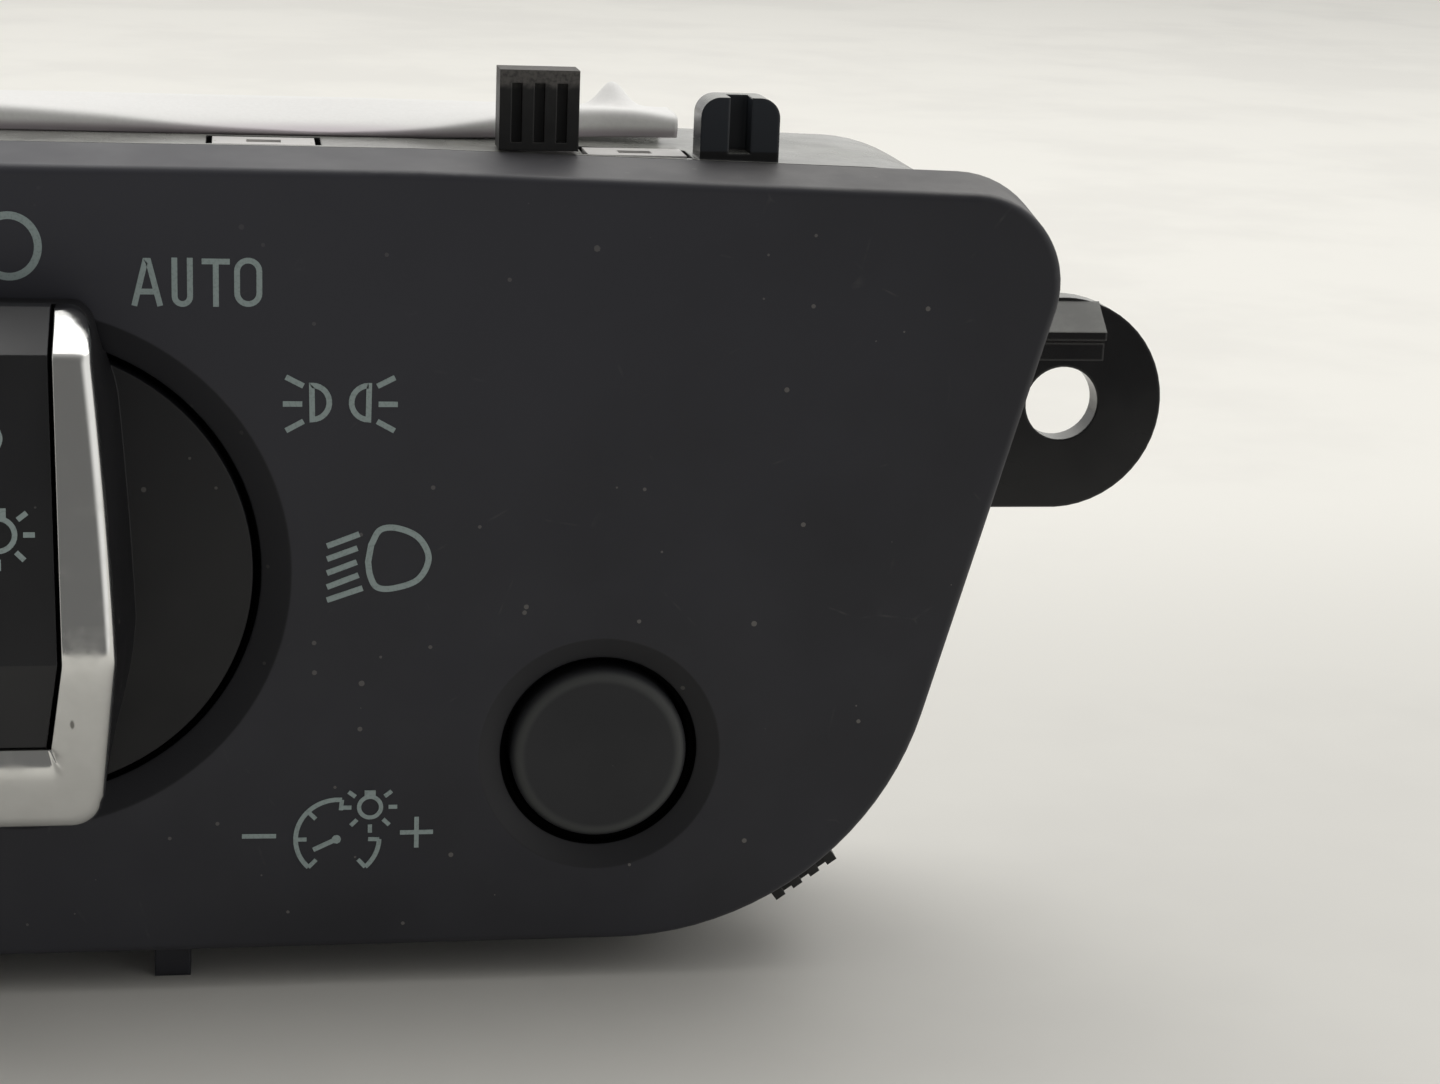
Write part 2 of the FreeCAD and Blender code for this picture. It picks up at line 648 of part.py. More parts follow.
def sunk_ring(owner, across, up, hole, rim, depth):
    """Cuts a conical ring that falls from the face to the edge of an opening."""
    sketch = side_sketch(owner, across)
    outline(sketch, [(0, up), (depth, up), (depth, up + hole), (0, up + rim)])
    line = sketch.addGeometry(Part.LineSegment(Vector(-1, up.number, 0), Vector(1, up.number, 0)), True)
    tie_point(sketch, line, 1, (-1, up))
    tie_point(sketch, line, 2, (1, up))
    groove = owner.newObject("PartDesign::Groove", "ring")
    groove.Profile = sketch
    groove.ReferenceAxis = (sketch, ["Axis0"])
    groove.Angle = 360
    sketch.Visibility = False


sunk_ring(bezel, Size(0.0, "0"), Size(0.0, "0"), knob_hole, knob_dish, dish_depth)
sunk_ring(bezel, dimmer_x, dimmer_z, dimmer_hole, dimmer_dish, dimmer_dish_depth)
block(bezel, tab_left, tab_left + tab_wide, tab_front, tab_front + tab_deep, floor_level, face_bottom + bite)

# Light carrier: white moulding behind the face, with the knob's bearing, the dimmer's well,
# the detent plunger's guide, four screw posts and the two snap tongues
carrier = body("light_carrier")
cup_round = dial_round + cup_gap
well_round = cap_round + well_gap
symbol_spots = {
    "off": (0.0, 27.4),
    "auto": (14.9, 24.8),
    "side_lights": (26.4, 14.6),
    "low_beam": (29.4, 0.4),
    "dimming": (27.5, -20.5),
}
post_spots = [
    (face_left + post_inset, face_top - post_inset),
    (face_left + post_inset, face_bottom + post_inset),
    (toe_x - post_inset, face_top - post_inset),
    (toe_x - toe_post, face_bottom + post_inset),
]
face_block(carrier, -carrier_inset, wall, plate_back)
disc(carrier, 0, 0, cup_round + web_thick, wall, bearing_web + web_thick)
disc(carrier, 0, 0, bearing_bore + collar_wall, wall, bearing_back)
disc(carrier, dimmer_x, dimmer_z, well_round + web_thick, wall, well_floor + web_thick)
for across, up in post_spots:
    disc(carrier, across, up, post_round, wall, board_front)
plunger_y = rotor_front + rotor_thick / 2
guide_high = -(rotor_round + guide_clear)
guide_low = -(rotor_round + tip_gap) - plunger_long - plunger_room
guide_half = plunger_round + web_thick
block(
    carrier, -guide_half, guide_half, wall, plunger_y + guide_half, guide_low, guide_high
)
bore(carrier, 0, 0, cup_round, wall, bearing_web)
bore(carrier, 0, 0, bearing_bore, wall, bearing_back)
bore(carrier, dimmer_x, dimmer_z, well_round, wall, well_floor)
bore(carrier, dimmer_x, dimmer_z, stem_round + bearing_play, wall, well_floor + web_thick)
for across, up in post_spots:
    bore(carrier, across, up, screw_round, screw_tip - tip_room, board_front)
for across, up in symbol_spots.values():
    bore(carrier, across, up, guide_round, wall, plate_back)
plunger_bore = circle(
    top_sketch(carrier, guide_high), 0, plunger_y, plunger_round + bearing_play
)
pocket(carrier, plunger_bore, guide_high - guide_low - web_thick)
top_fall = face_top - corner_z
right_fall = top_fall * (right_window + window_wide - bow_start) / (corner_x - bow_start)
for left, fall in ((left_window, 0), (right_window, right_fall)):
    tongue_high = housing_top - tongue_sunk - fall
    tongue_low = housing_top - housing_wall - web_thick - tongue_play - fall
    block(
        carrier, left + tongue_gap, left + window_wide - tongue_gap,
        plate_back, window_front + window_deep - tongue_gap, tongue_low, tongue_low + web_thick,
    )
    block(
        carrier, left + tongue_gap, left + window_wide - tongue_gap,
        window_front + tongue_gap, window_front + window_deep - tongue_gap, tongue_low, tongue_high,
    )
    block(
        carrier, left + tongue_gap, left + window_wide - tongue_gap,
        wall, plate_back, face_top - carrier_inset - web_thick - bite, tongue_low + web_thick,
    )
    slot = rectangle(
        top_sketch(carrier, tongue_high),
        left + (window_wide - tongue_slot_wide) / 2, left + (window_wide + tongue_slot_wide) / 2,
        window_front + (window_deep - tongue_slot_deep) / 2,
        window_front + (window_deep + tongue_slot_deep) / 2,
    )
    pocket(carrier, slot, web_thick)

# Rear housing: black moulded box with the two screw lugs, the fork guide on its top, guide ribs
# under it, four screw posts and the plug socket at its back
housing = body("rear_housing")
face_block(housing, skirt_flare, housing_front, housing_back, shoulder=shoulder_round)
inside = face_outline(front_sketch(housing, housing_front), skirt_flare - housing_wall, shoulder_round)
pocket(housing, inside, housing_back - housing_wall - housing_front)
bevel(housing, back_edge, edge_at_depth(housing_back))


def lug(owner, hole_x, wall_low, wall_high, side):
    """A rounded plate with a screw hole, out to one side of the housing."""
    low, high = lug_z - lug_round, lug_z + lug_round
    points = [(wall_low, low), (hole_x, low), (hole_x, high), (wall_high, high)]
    bows = {1: lug_round + arc_slack}
    if side < 0:
        points = [(hole_x, low), (wall_low, low), (wall_high, high), (hole_x, high)]
        bows = {3: lug_round + arc_slack}
    sketch = outline(front_sketch(owner, lug_front), points, bows)
    pad(owner, sketch, lug_thick)


inner_grow = skirt_flare - housing_wall / 2
lug(housing, lug_x, side_at(lug_z - lug_round, inner_grow), side_at(lug_z + lug_round, inner_grow), 1)
left_wall = face_left - inner_grow
lug(housing, left_lug_x, left_wall, left_wall, -1)


def gusset(owner, start, end):
    """A stepped ledge over a lug hole that stiffens the lug, from the wall outwards."""
    top = lug_z + lug_round - gusset_inset
    step_front = lug_front - gusset_out
    underside = lug_z + gusset_low
    points = [
        (lug_front, underside),
        (lug_front, top),
        (step_front, underside + ledge_top),
        (step_front, underside + ledge_edge),
        (step_front + ledge_step, underside + ledge_low),
        (step_front + ledge_step, underside),
    ]
    pad(owner, outline(side_sketch(owner, start), points[::-1]), as_size(end) - start, backwards=False)


gusset(housing, side_at(lug_z, inner_grow), lug_x + gusset_end)
gusset(housing, left_lug_x - gusset_end, left_wall)
for hole_x in (lug_x, left_lug_x):
    bore(housing, hole_x, lug_z, lug_hole, lug_front, lug_front + lug_thick)

fork_right = fork_left + fork_wide
fork_top = housing_top + fork_high
fork_front = housing_front + fork_back
fork_points = [
    (fork_left, housing_top - bite),
    (fork_right, housing_top - bite),
    (fork_right, fork_top - fork_round),
    (fork_right - fork_round, fork_top),
    (fork_left + fork_round, fork_top),
    (fork_left, fork_top - fork_round),
]
fork_bow = fork_round + arc_slack
fork_sketch = outline(front_sketch(housing, fork_front), fork_points, {2: fork_bow, 4: fork_bow})
pad(housing, fork_sketch, fork_deep)
fork_middle = fork_left + fork_wide / 2
slot = rectangle(
    front_sketch(housing, fork_front),
    fork_middle - fork_slot / 2, fork_middle + fork_slot / 2, housing_top, fork_top + cut_reach,
)
pocket(housing, slot, fork_cut)
for left in (left_window, right_window):
    window = rectangle(
        top_sketch(housing, housing_top),
        left, left + window_wide, window_front, window_front + window_deep,
    )
    pocket(housing, window, housing_wall + top_fall)
for rib_x in (left_rib_x, right_rib_x):
    block(
        housing, rib_x - rib_thick / 2, rib_x + rib_thick / 2,
        lug_front, housing_back - rib_short, floor_level, housing_bottom + bite,
    )
for across, up in post_spots:
    disc(housing, across, up, post_round, board_back, housing_back - bite)
for across, up in post_spots:
    bore(housing, across, up, screw_head + head_room, screw_seat, housing_back)
    bore(housing, across, up, screw_round + hole_play, board_back, screw_seat)
block(
    housing, socket_x - socket_half - socket_wall, socket_x + socket_half + socket_wall,
    housing_back - bite, housing_back + socket_long,
    socket_z - socket_half_high - socket_wall, socket_z + socket_half_high + socket_wall,
)
socket_room = rectangle(
    front_sketch(housing, housing_back),
    socket_x - socket_half, socket_x + socket_half,
    socket_z - socket_half_high, socket_z + socket_half_high,
)
pocket(housing, socket_room, socket_long)
header_half = pin_pitch * (pins_across - 1) / 2 + header_edge
header_half_high = pin_pitch * (pin_rows - 1) / 2 + header_edge
header_window = rectangle(
    front_sketch(housing, housing_back - housing_wall),
    socket_x - header_half, socket_x + header_half,
    socket_z - header_half_high, socket_z + header_half_high,
)
pocket(housing, header_window, housing_wall)

# Circuit board: flat board clamped between the carrier's posts and the housing's posts
board = body("circuit_board")
face_block(board, skirt_flare - housing_wall - board_inset, board_front, board_back)
bore(board, dimmer_x, dimmer_z, stem_round + stem_gap, board_front, board_back)
for across, up in post_spots:
    bore(board, across, up, screw_round + hole_play, board_front, board_back)
for column in range(pins_across):
    for row in range(pin_rows):
        pin_x = socket_x + pin_pitch * (column - (pins_across - 1) / 2)
        pin_z = socket_z + pin_pitch * (row - (pin_rows - 1) / 2)
        hole = rectangle(
            front_sketch(board, board_front),
            pin_x - pin_half, pin_x + pin_half, pin_z - pin_half, pin_z + pin_half,
        )
        pocket(board, hole, board_thick)

# Light knob: round dial with a tall tapered grip across it and a stepped hollow shaft behind it
knob = body("light_knob")


def grip_outline(sketch, grow):
    """Front outline of the grip, moved outwards by grow: bowed sides and a blunt bottom end."""
    grow = as_size(grow)
    points = [
        (-(grip_toe_half + grow), grip_bottom - grow * toe_share),
        (grip_toe_half + grow, grip_bottom - grow * toe_share),
        (grip_half + grow, ridge_z),
        (grip_top_half + grow, grip_top),
        (-(grip_top_half + grow), grip_top),
        (-(grip_half + grow), ridge_z),
    ]
    return outline(sketch, points, {2: grip_side_bow, 4: grip_side_bow})


def front_line(depth):
    """The grip's front in side view, moved back by depth: steep end, long facet, lower facet."""
    depth = as_size(depth)
    return [
        (depth - top_out, grip_top + bite),
        (depth - brow_out, brow_z),
        (depth - ridge_out, ridge_z),
        (depth - toe_out, grip_bottom - bite),
    ]


def cut_front(owner, depth):
    """Cuts away everything in front of the grip's front line moved back by depth."""
    line = front_line(depth)
    far = -(ridge_out + cut_reach * 2)
    points = [(far, grip_bottom - cut_reach), (line[3][0], grip_bottom - cut_reach)]
    points += line[::-1]
    points += [(line[0][0], grip_top + cut_reach), (far, grip_top + cut_reach)]
    sketch = outline(side_sketch(owner, -(grip_half + cut_reach)), points)
    pocket(owner, sketch, (grip_half + cut_reach) * 2, backwards=False)


grip_body = knob.newObject("PartDesign::AdditiveLoft", "grip")
grip_body.Profile = grip_outline(front_sketch(knob, dial_face), grip_foot)
front_grow = grip_foot - grip_foot * (ridge_out + dial_face) / (brow_out + dial_face)
grip_body.Sections = [grip_outline(front_sketch(knob, -ridge_out), front_grow)]
grip_body.Ruled = True
cut_front(knob, trim_thick)
overhang = rectangle(
    front_sketch(knob, dial_face), -(grip_half + cut_reach), grip_half + cut_reach,
    dial_round - overhang_gap, grip_top + cut_reach,
)
pocket(knob, overhang, dial_face + overhang_gap, backwards=False)
disc(knob, 0, 0, dial_round, dial_face, dial_face + dial_thick)
disc(knob, 0, 0, shaft_round, dial_face + dial_thick, bearing_back + collar_gap)
disc(knob, 0, 0, neck_round, bearing_back + collar_gap, shaft_end)
groove_floor = neck_round - groove_sunk
ring_front = rotor_front + rotor_thick
groove_sketch = circle(front_sketch(knob, ring_front), 0, 0, neck_round + cut_reach)
circle(groove_sketch, 0, 0, groove_floor)
pocket(knob, groove_sketch, clip_thick)


def key_outline(sketch, grow):
    """Front outline of the key, moved outwards by grow, open ended at the grip's top."""
    grow = as_size(grow)
    points = [
        (-(key_toe_half + grow), key_bottom - grow),
        (key_toe_half + grow, key_bottom - grow),
        (key_half + grow, ridge_z),
        (key_top_half + grow, grip_top + cut_reach),
        (-(key_top_half + grow), grip_top + cut_reach),
        (-(key_half + grow), ridge_z),
    ]
    return outline(sketch, points)


key_pocket = key_outline(front_sketch(knob, -key_pocket_out), key_gap)
pocket(knob, key_pocket, ridge_out + cut_reach, backwards=False)
bore(knob, 0, 0, light_bore, -key_pocket_out, shaft_end)
pin_hole = circle(
    side_sketch(knob, -(key_half + key_gap + pivot_reach + pivot_room)),
    -pivot_out, pivot_z, pivot_round + bearing_play,
)
pocket(knob, pin_hole, (key_half + key_gap + pivot_reach + pivot_room) * 2, backwards=False)

# Grip trim: bright metallised frame on the grip's front, open at the top
trim = body("grip_trim")
pad(trim, grip_outline(front_sketch(trim, 0), 0), ridge_out + cut_reach, backwards=False)
round_off(trim, grip_toe_round, corner_at(grip_toe_half, grip_bottom))
round_off(trim, grip_toe_round, corner_at(-grip_toe_half, grip_bottom))
round_off(trim, grip_top_round, corner_at(grip_top_half, grip_top))
round_off(trim, grip_top_round, corner_at(-grip_top_half, grip_top))
cut_front(trim, 0)

inner_room = key_outline(front_sketch(trim, 0), key_gap)
pocket(trim, inner_room, ridge_out + cut_reach, backwards=False)
line = front_line(trim_thick)
behind = [line[3], (0, grip_bottom - bite), (0, grip_top + bite)]
behind_sketch = outline(side_sketch(trim, -(grip_half + cut_reach)), behind + line[:3])
pocket(trim, behind_sketch, (grip_half + cut_reach) * 2, backwards=False)
line = front_line(0)
fall = (line[3][0] - line[2][0]) / (line[2][1] - line[3][1])
bevel_top = key_bottom - key_gap
bevel_low = bevel_top - toe_bevel
bevel_front = line[2][0] + (line[2][1] - bevel_low) * fall
bevel_back = line[2][0] + (line[2][1] - bevel_top) * fall + toe_bevel_deep
toe_cut = outline(
    side_sketch(trim, -(key_toe_half + key_gap)),
    [(bevel_front, bevel_low), (bevel_back, bevel_top), (-(ridge_out + cut_reach), bevel_top)],
)
pocket(trim, toe_cut, (key_toe_half + key_gap) * 2, backwards=False)

# Grip key: black rocker key in the trim, with two pivot pins
key = body("grip_key")
pad(key, key_outline(front_sketch(key, 0), 0), ridge_out + cut_reach, backwards=False)
cut_front(key, key_sunk)
line = front_line(key_sunk + key_thick)
key_high = grip_top + cut_reach
behind = [line[3], (cut_reach, grip_bottom - bite), (cut_reach, key_high), (line[0][0], key_high)]
key_back = outline(side_sketch(key, -(grip_half + cut_reach)), behind + line[:3])
pocket(key, key_back, (grip_half + cut_reach) * 2, backwards=False)
floor_cut = rectangle(
    front_sketch(key, -(key_pocket_out + rock_room)), -key_half, key_half,
    pivot_z, grip_top + cut_reach,
)
pocket(key, floor_cut, ridge_out)
top_trim = rectangle(
    front_sketch(key, cut_reach), -(key_half + cut_reach), key_half + cut_reach,
    grip_top - key_sunk, grip_top + cut_reach * 2,
)
pocket(key, top_trim, ridge_out + cut_reach * 2, backwards=False)
pivot = circle(side_sketch(key, -(key_half + key_gap + pivot_reach)), -pivot_out, pivot_z, pivot_round)
pad(key, pivot, (key_half + key_gap + pivot_reach) * 2, backwards=False)

# Key mat: soft pad with two switch domes on the floor of the key's pocket
mat = body("key_mat")
mat_front = -(key_pocket_out + mat_thick)
block(mat, -mat_half, mat_half, mat_front, -key_pocket_out, key_bottom + bite, grip_top - mat_short)
for dome_z in (pivot_z - dome_reach, pivot_z + dome_reach):
    sketch = circle(front_sketch(mat, mat_front), 0, dome_z, dome_round)
    pad(mat, sketch, dome_high, backwards=False)

# Key light guide: clear rod down the hollow knob shaft that lights the key's symbols
key_guide = body("key_light_guide")
disc(key_guide, 0, 0, light_bore, -key_pocket_out, shaft_end)

# Detent wheel: wheel on the shaft's neck with a notch in its rim at every step of the knob
wheel = body("detent_wheel")
ring_sketch = circle(front_sketch(wheel, rotor_front), 0, 0, rotor_round)
circle(ring_sketch, 0, 0, neck_round)
pad(wheel, ring_sketch, rotor_thick)
notch_reach = rotor_round + notch_round - notch_depth
notch = circle(front_sketch(wheel, rotor_front), 0, -notch_reach, notch_round)
first_notch = pocket(wheel, notch, rotor_thick)
notches = wheel.newObject("PartDesign::PolarPattern", "notches")
notches.Originals = [first_notch]
wheel_axis = next(item for item in wheel.Origin.OriginFeatures if item.Role == "Y_Axis")
notches.Axis = (wheel_axis, [""])
notches.Angle = 360
notches.Occurrences = round(360 / notch_step.number)
notches.setExpression("Occurrences", f"round(360 / {notch_step.text})")
wheel.Tip = notches

# Detent plunger: bevelled pin in the carrier's guide, pushed against the wheel by its spring
plunger = body("detent_plunger")
plunger_top = -(rotor_round + tip_gap)
plunger_foot = circle(top_sketch(plunger, plunger_top - plunger_long), 0, plunger_y, plunger_round)
pad(plunger, plunger_foot, plunger_long, backwards=False)
top_edge = plunger_top.number - 0.01
bevel(plunger, nose_edge, lambda edge: edge.BoundBox.ZMin > top_edge)

# Knob clip: spring ring in the shaft's groove that keeps the detent wheel on the shaft
clip = body("knob_clip")
clip_sketch = circle(front_sketch(clip, ring_front), 0, 0, clip_round)
circle(clip_sketch, 0, 0, groove_floor)
pad(clip, clip_sketch, clip_thick)
gap = rectangle(
    front_sketch(clip, ring_front), -clip_mouth, clip_mouth, -(clip_round + cut_reach), -clip_mouth
)
pocket(clip, gap, clip_thick)

# Dimmer cap: round button, closed at the front
cap = body("dimmer_cap")
disc(cap, dimmer_x, dimmer_z, cap_round, 0, cap_long)
round_off(cap, cap_edge_round, edge_at_depth(0))
bore(cap, dimmer_x, dimmer_z, cap_round - cap_wall, cap_wall, cap_long)

# Dimmer stem: disc in the cap with a shaft through the well's floor into the encoder
stem = body("dimmer_stem")
disc(stem, dimmer_x, dimmer_z, cap_round - cap_wall, cap_wall, cap_long)
disc(stem, dimmer_x, dimmer_z, stem_round, cap_wall, stem_end)

# Dimmer sleeve: latch ring behind the cap that slides with it and doesn't turn
sleeve_back = cap_long + sleeve_gap + sleeve_thick
sleeve = body("dimmer_sleeve")
disc(sleeve, dimmer_x, dimmer_z, cap_round, cap_long + sleeve_gap, sleeve_back)
bore(sleeve, dimmer_x, dimmer_z, stem_round + bearing_play, cap_long + sleeve_gap, sleeve_back)

# Dimmer encoder: case on the circuit board round the dimmer's stem
encoder = body("dimmer_encoder")
block(
    encoder, dimmer_x - encoder_half, dimmer_x + encoder_half, encoder_front, board_front,
    dimmer_z - encoder_half, dimmer_z + encoder_half,
)
bore(encoder, dimmer_x, dimmer_z, stem_round + bearing_play, encoder_front, board_front)


def spring(label, radius, length, turns, turn, place):
    """A coil spring as its own piece; its axis is turned from Z and starts at a place."""
    item = doc.addObject("Part::Feature", label)
    item.Shape = coil(radius.number, spring_wire.number, length.number, turns)
    item.Placement = Placement(Vector(), turn)
    return sub_part(item, label, place)


# Springs: one behind the detent plunger, one between the well's floor and the latch sleeve
spring(
    "detent_spring", plunger_round - spring_wire / 2 - 0.1, plunger_room - web_thick, 4,
    Rotation(), (0, plunger_y, guide_low + web_thick),
)
spring(
    "dimmer_spring", stem_round + 1.2, well_floor - sleeve_back, 2,
    Rotation(Vector(1, 0, 0), -90), (dimmer_x, sleeve_back, dimmer_z),
)

# Light guides: clear rods from the diodes to the symbols of the face
guides = []
diodes = []
for name, (across, up) in symbol_spots.items():
    rod = doc.addObject("Part::Cylinder", "rod")
    bind(rod, Radius=guide_round, Height=board_front - led_thick - guide_gap - wall)
    rod.Placement = Placement(Vector(), Rotation(Vector(1, 0, 0), -90))
    bind_place(rod, "Placement.Base", across, wall, up)
    guides.append(rod)
    diodes.append(cuboid(
        as_size(across) - led_half, as_size(across) + led_half, board_front - led_thick, board_front,
        as_size(up) - led_half, as_size(up) + led_half,
    ))
group("symbol_light_guides", guides)
group("backlight_diodes", diodes)

# Pin header: block on the back of the board that holds the contact pins in the socket's window
header = body("pin_header")
block(
    header, socket_x - header_half, socket_x + header_half, board_back, housing_back,
    socket_z - header_half_high, socket_z + header_half_high,
)
pins = []
for column in range(pins_across):
    for row in range(pin_rows):
        pin_x = socket_x + pin_pitch * (column - (pins_across - 1) / 2)
        pin_z = socket_z + pin_pitch * (row - (pin_rows - 1) / 2)
        hole = rectangle(
            front_sketch(header, board_back),
            pin_x - pin_half, pin_x + pin_half, pin_z - pin_half, pin_z + pin_half,
        )
        pocket(header, hole, housing_back - board_back)
        pins.append(cuboid(
            pin_x - pin_half, pin_x + pin_half, board_front, pin_end, pin_z - pin_half, pin_z + pin_half
        ))
group("contact_pins", pins)

# Housing screws: four long screws through the rear housing and the board into the carrier's posts
screws = body("housing_screws")
for across, up in post_spots:
    disc(screws, across, up, screw_head, screw_seat, screw_seat + screw_head_thick)
    disc(screws, across, up, screw_round, screw_tip, screw_seat)


def ribbed_buffer(label, left, low, high, cap_high):
    """A soft block with upright ribs on its front, standing behind the skirt."""
    owner = body(label)
    block(owner, left, left + buffer_wide, housing_front, housing_front + buffer_deep, low, high)
    pitch = (buffer_wide + groove_wide) / ribs
    for rib in range(1, ribs):
        groove_left = left + pitch * rib - groove_wide
        groove = rectangle(
            front_sketch(owner, housing_front),
            groove_left, groove_left + groove_wide, low + buffer_foot, high - cap_high,
        )
        pocket(owner, groove, groove_deep)
    return owner


# Buffers: soft ribbed blocks that press against the dashboard's opening
ribbed_buffer("top_buffer", buffer_left, housing_top, housing_top + buffer_high, buffer_cap)

corner_buffer = body("corner_buffer")
toe_centre = (
    toe_x - toe_round * (side_stretch - side_lean),
    face_bottom + toe_round,
)
turn_angle = math.radians(corner_buffer_angle.number)
outwards = (Size(math.cos(turn_angle), f"cos({corner_buffer_angle.text})"),
            Size(math.sin(turn_angle), f"sin({corner_buffer_angle.text})"))


def at_corner(out, along):
    """A point of the front outline by its distance out from the toe's centre and along its rim."""
    return (
        toe_centre[0] + outwards[0] * out + outwards[1] * along,
        toe_centre[1] - outwards[1] * out + outwards[0] * along,
    )


def corner_rectangle(sketch, inner, outer, low, high):
    return outline(sketch, [
        at_corner(inner, low), at_corner(outer, low), at_corner(outer, high), at_corner(inner, high),
    ])


buffer_seat = toe_round + skirt_flare
buffer_tip = buffer_seat + corner_buffer_high
pad(
    corner_buffer,
    corner_rectangle(
        front_sketch(corner_buffer, housing_front), buffer_seat, buffer_tip,
        -buffer_wide / 2, buffer_wide / 2,
    ),
    buffer_deep,
)
pitch = (buffer_wide + groove_wide) / ribs
for rib in range(1, ribs):
    low = pitch * rib - groove_wide - buffer_wide / 2
    groove = corner_rectangle(
        front_sketch(corner_buffer, housing_front), buffer_seat + buffer_foot, buffer_tip + cut_reach,
        low, low + groove_wide,
    )
    pocket(corner_buffer, groove, groove_deep)

# Paper strip: curled slip of paper that lies along the housing's top
strip = body("paper_strip")
half_chord = (paper_back - paper_front) / 2
paper_arc = (half_chord * half_chord + paper_rise * paper_rise) / (paper_rise * 2)
paper_low = housing_top
paper_profile = outline(
    side_sketch(strip, paper_left),
    [
        (paper_front, paper_low),
        (paper_front + paper_thick, paper_low),
        (paper_back - paper_thick, paper_low),
        (paper_back, paper_low),
    ],
    {1: -paper_arc, 3: paper_arc},
)
pad(strip, paper_profile, paper_right - paper_left, backwards=False)

doc.recompute()
faults = [item.Name for item in doc.Objects if "Invalid" in item.State or "Error" in item.State]
for item in sub_parts:
    shape = item.Shape
    if shape.isNull() or not shape.isValid():
        faults.append(item.Label)
if faults:
    raise ValueError("these objects failed: " + ", ".join(faults))
os.makedirs("parts", exist_ok=True)
for item in sub_parts:
    item.Shape.exportStep(f"parts/{item.Label}.step")
    print(item.Label, len(item.Shape.Solids), round(item.Shape.Volume, 1))
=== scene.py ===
import math

import bmesh
import bpy
import numpy as np
from mathutils import Matrix, Vector


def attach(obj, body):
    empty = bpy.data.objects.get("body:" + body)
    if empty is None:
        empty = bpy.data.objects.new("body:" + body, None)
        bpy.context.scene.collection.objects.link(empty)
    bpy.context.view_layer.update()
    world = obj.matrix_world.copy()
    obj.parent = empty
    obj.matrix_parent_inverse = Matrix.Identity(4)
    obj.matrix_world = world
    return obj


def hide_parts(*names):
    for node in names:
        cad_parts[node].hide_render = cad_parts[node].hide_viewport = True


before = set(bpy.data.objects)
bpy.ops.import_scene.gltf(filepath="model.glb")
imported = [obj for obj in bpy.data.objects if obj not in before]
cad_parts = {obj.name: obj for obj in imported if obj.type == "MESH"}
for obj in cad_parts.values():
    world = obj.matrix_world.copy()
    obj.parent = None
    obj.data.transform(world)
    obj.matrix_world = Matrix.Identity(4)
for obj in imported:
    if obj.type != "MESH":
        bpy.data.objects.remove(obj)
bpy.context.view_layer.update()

# The switch as it left the CAD model.
# Sizes below are in millimetres from the middle of the light knob on the face: X to the
# driver's right, Y into the dashboard, Z up. The frame's zero lies between the lug holes.
lug_middle = np.array((20.5, 12.0, 12.2))


def in_frame(points):
    """Points of the drawing in metres of the frame: each less the lugs' middle, over 1000."""
    return (np.asarray(points, float) - lug_middle) / 1000


# Camera: a 70 mm lens close to the switch, a little to its left and above, looking down on it.
camera = bpy.data.objects.new("camera", bpy.data.cameras.new("camera"))
camera.data.lens = 70.0
camera.data.sensor_width = 36.0
camera.data.clip_start = 0.01
yaw, pitch, roll = 0.17665, 0.26489, 0.041735
ahead = Vector((
    math.sin(yaw) * math.cos(pitch), math.cos(yaw) * math.cos(pitch), -math.sin(pitch)
))
level_right = Vector((math.cos(yaw), -math.sin(yaw), 0))
level_up = level_right.cross(ahead)
right = level_right * math.cos(roll) + level_up * math.sin(roll)
up = level_up * math.cos(roll) - level_right * math.sin(roll)
turn = Matrix((right, up, -ahead)).transposed().to_4x4()
camera.matrix_world = Matrix.Translation(in_frame((18.110, -229.843, 65.826))) @ turn
bpy.context.collection.objects.link(camera)
bpy.context.scene.camera = camera
bpy.context.scene.view_settings.view_transform = "Standard"


def add(tree, kind, inputs=None, **settings):
    """One shader node: its settings are attributes, its inputs are values or other sockets."""
    item = tree.nodes.new("ShaderNode" + kind)
    for name, value in settings.items():
        setattr(item, name, value)
    for name, value in (inputs or {}).items():
        if isinstance(value, bpy.types.NodeSocket):
            tree.links.new(value, item.inputs[name])
        else:
            item.inputs[name].default_value = value
    return item


def calc(tree, operation, first, second=0.0):
    """A sum, product or other single step of arithmetic on two values."""
    return add(tree, "Math", {0: first, 1: second}, operation=operation).outputs[0]


def fade(tree, value, low, high, start=0.0, end=1.0):
    """A value that runs smoothly from start to end while another runs from low to high."""
    inputs = {0: value, 1: low, 2: high, 3: start, 4: end}
    return add(tree, "MapRange", inputs, interpolation_type="SMOOTHSTEP").outputs[0]


def mixed(tree, share, first, second):
    """A colour between two colours."""
    return add(tree, "Mix", {0: share, 6: first, 7: second}, data_type="RGBA").outputs[2]


def cloud(tree, place, scale, detail=3.0, rough=0.55):
    """Soft random shades over a place."""
    inputs = {"Vector": place, "Scale": scale, "Detail": detail, "Roughness": rough}
    return add(tree, "TexNoise", inputs).outputs["Fac"]


def grey(level, warm=0.0):
    """A near-neutral colour as red, green, blue and one."""
    return (level * (1 + warm), level, level * (1 - warm), 1.0)


def new_material(name):
    """An empty material with its principled shader, and the place on the piece."""
    paint = bpy.data.materials.new(name)
    paint.use_nodes = True
    tree = paint.node_tree
    shader = tree.nodes["Principled BSDF"]
    place = add(tree, "TexCoord").outputs["Object"]
    return paint, tree, shader, place


def wire(tree, shader, colour, rough, normal):
    """Connects a material's colour, roughness and bent normal to its shader."""
    tree.links.new(colour, shader.inputs["Base Color"])
    tree.links.new(rough, shader.inputs["Roughness"])
    tree.links.new(normal, shader.inputs["Normal"])
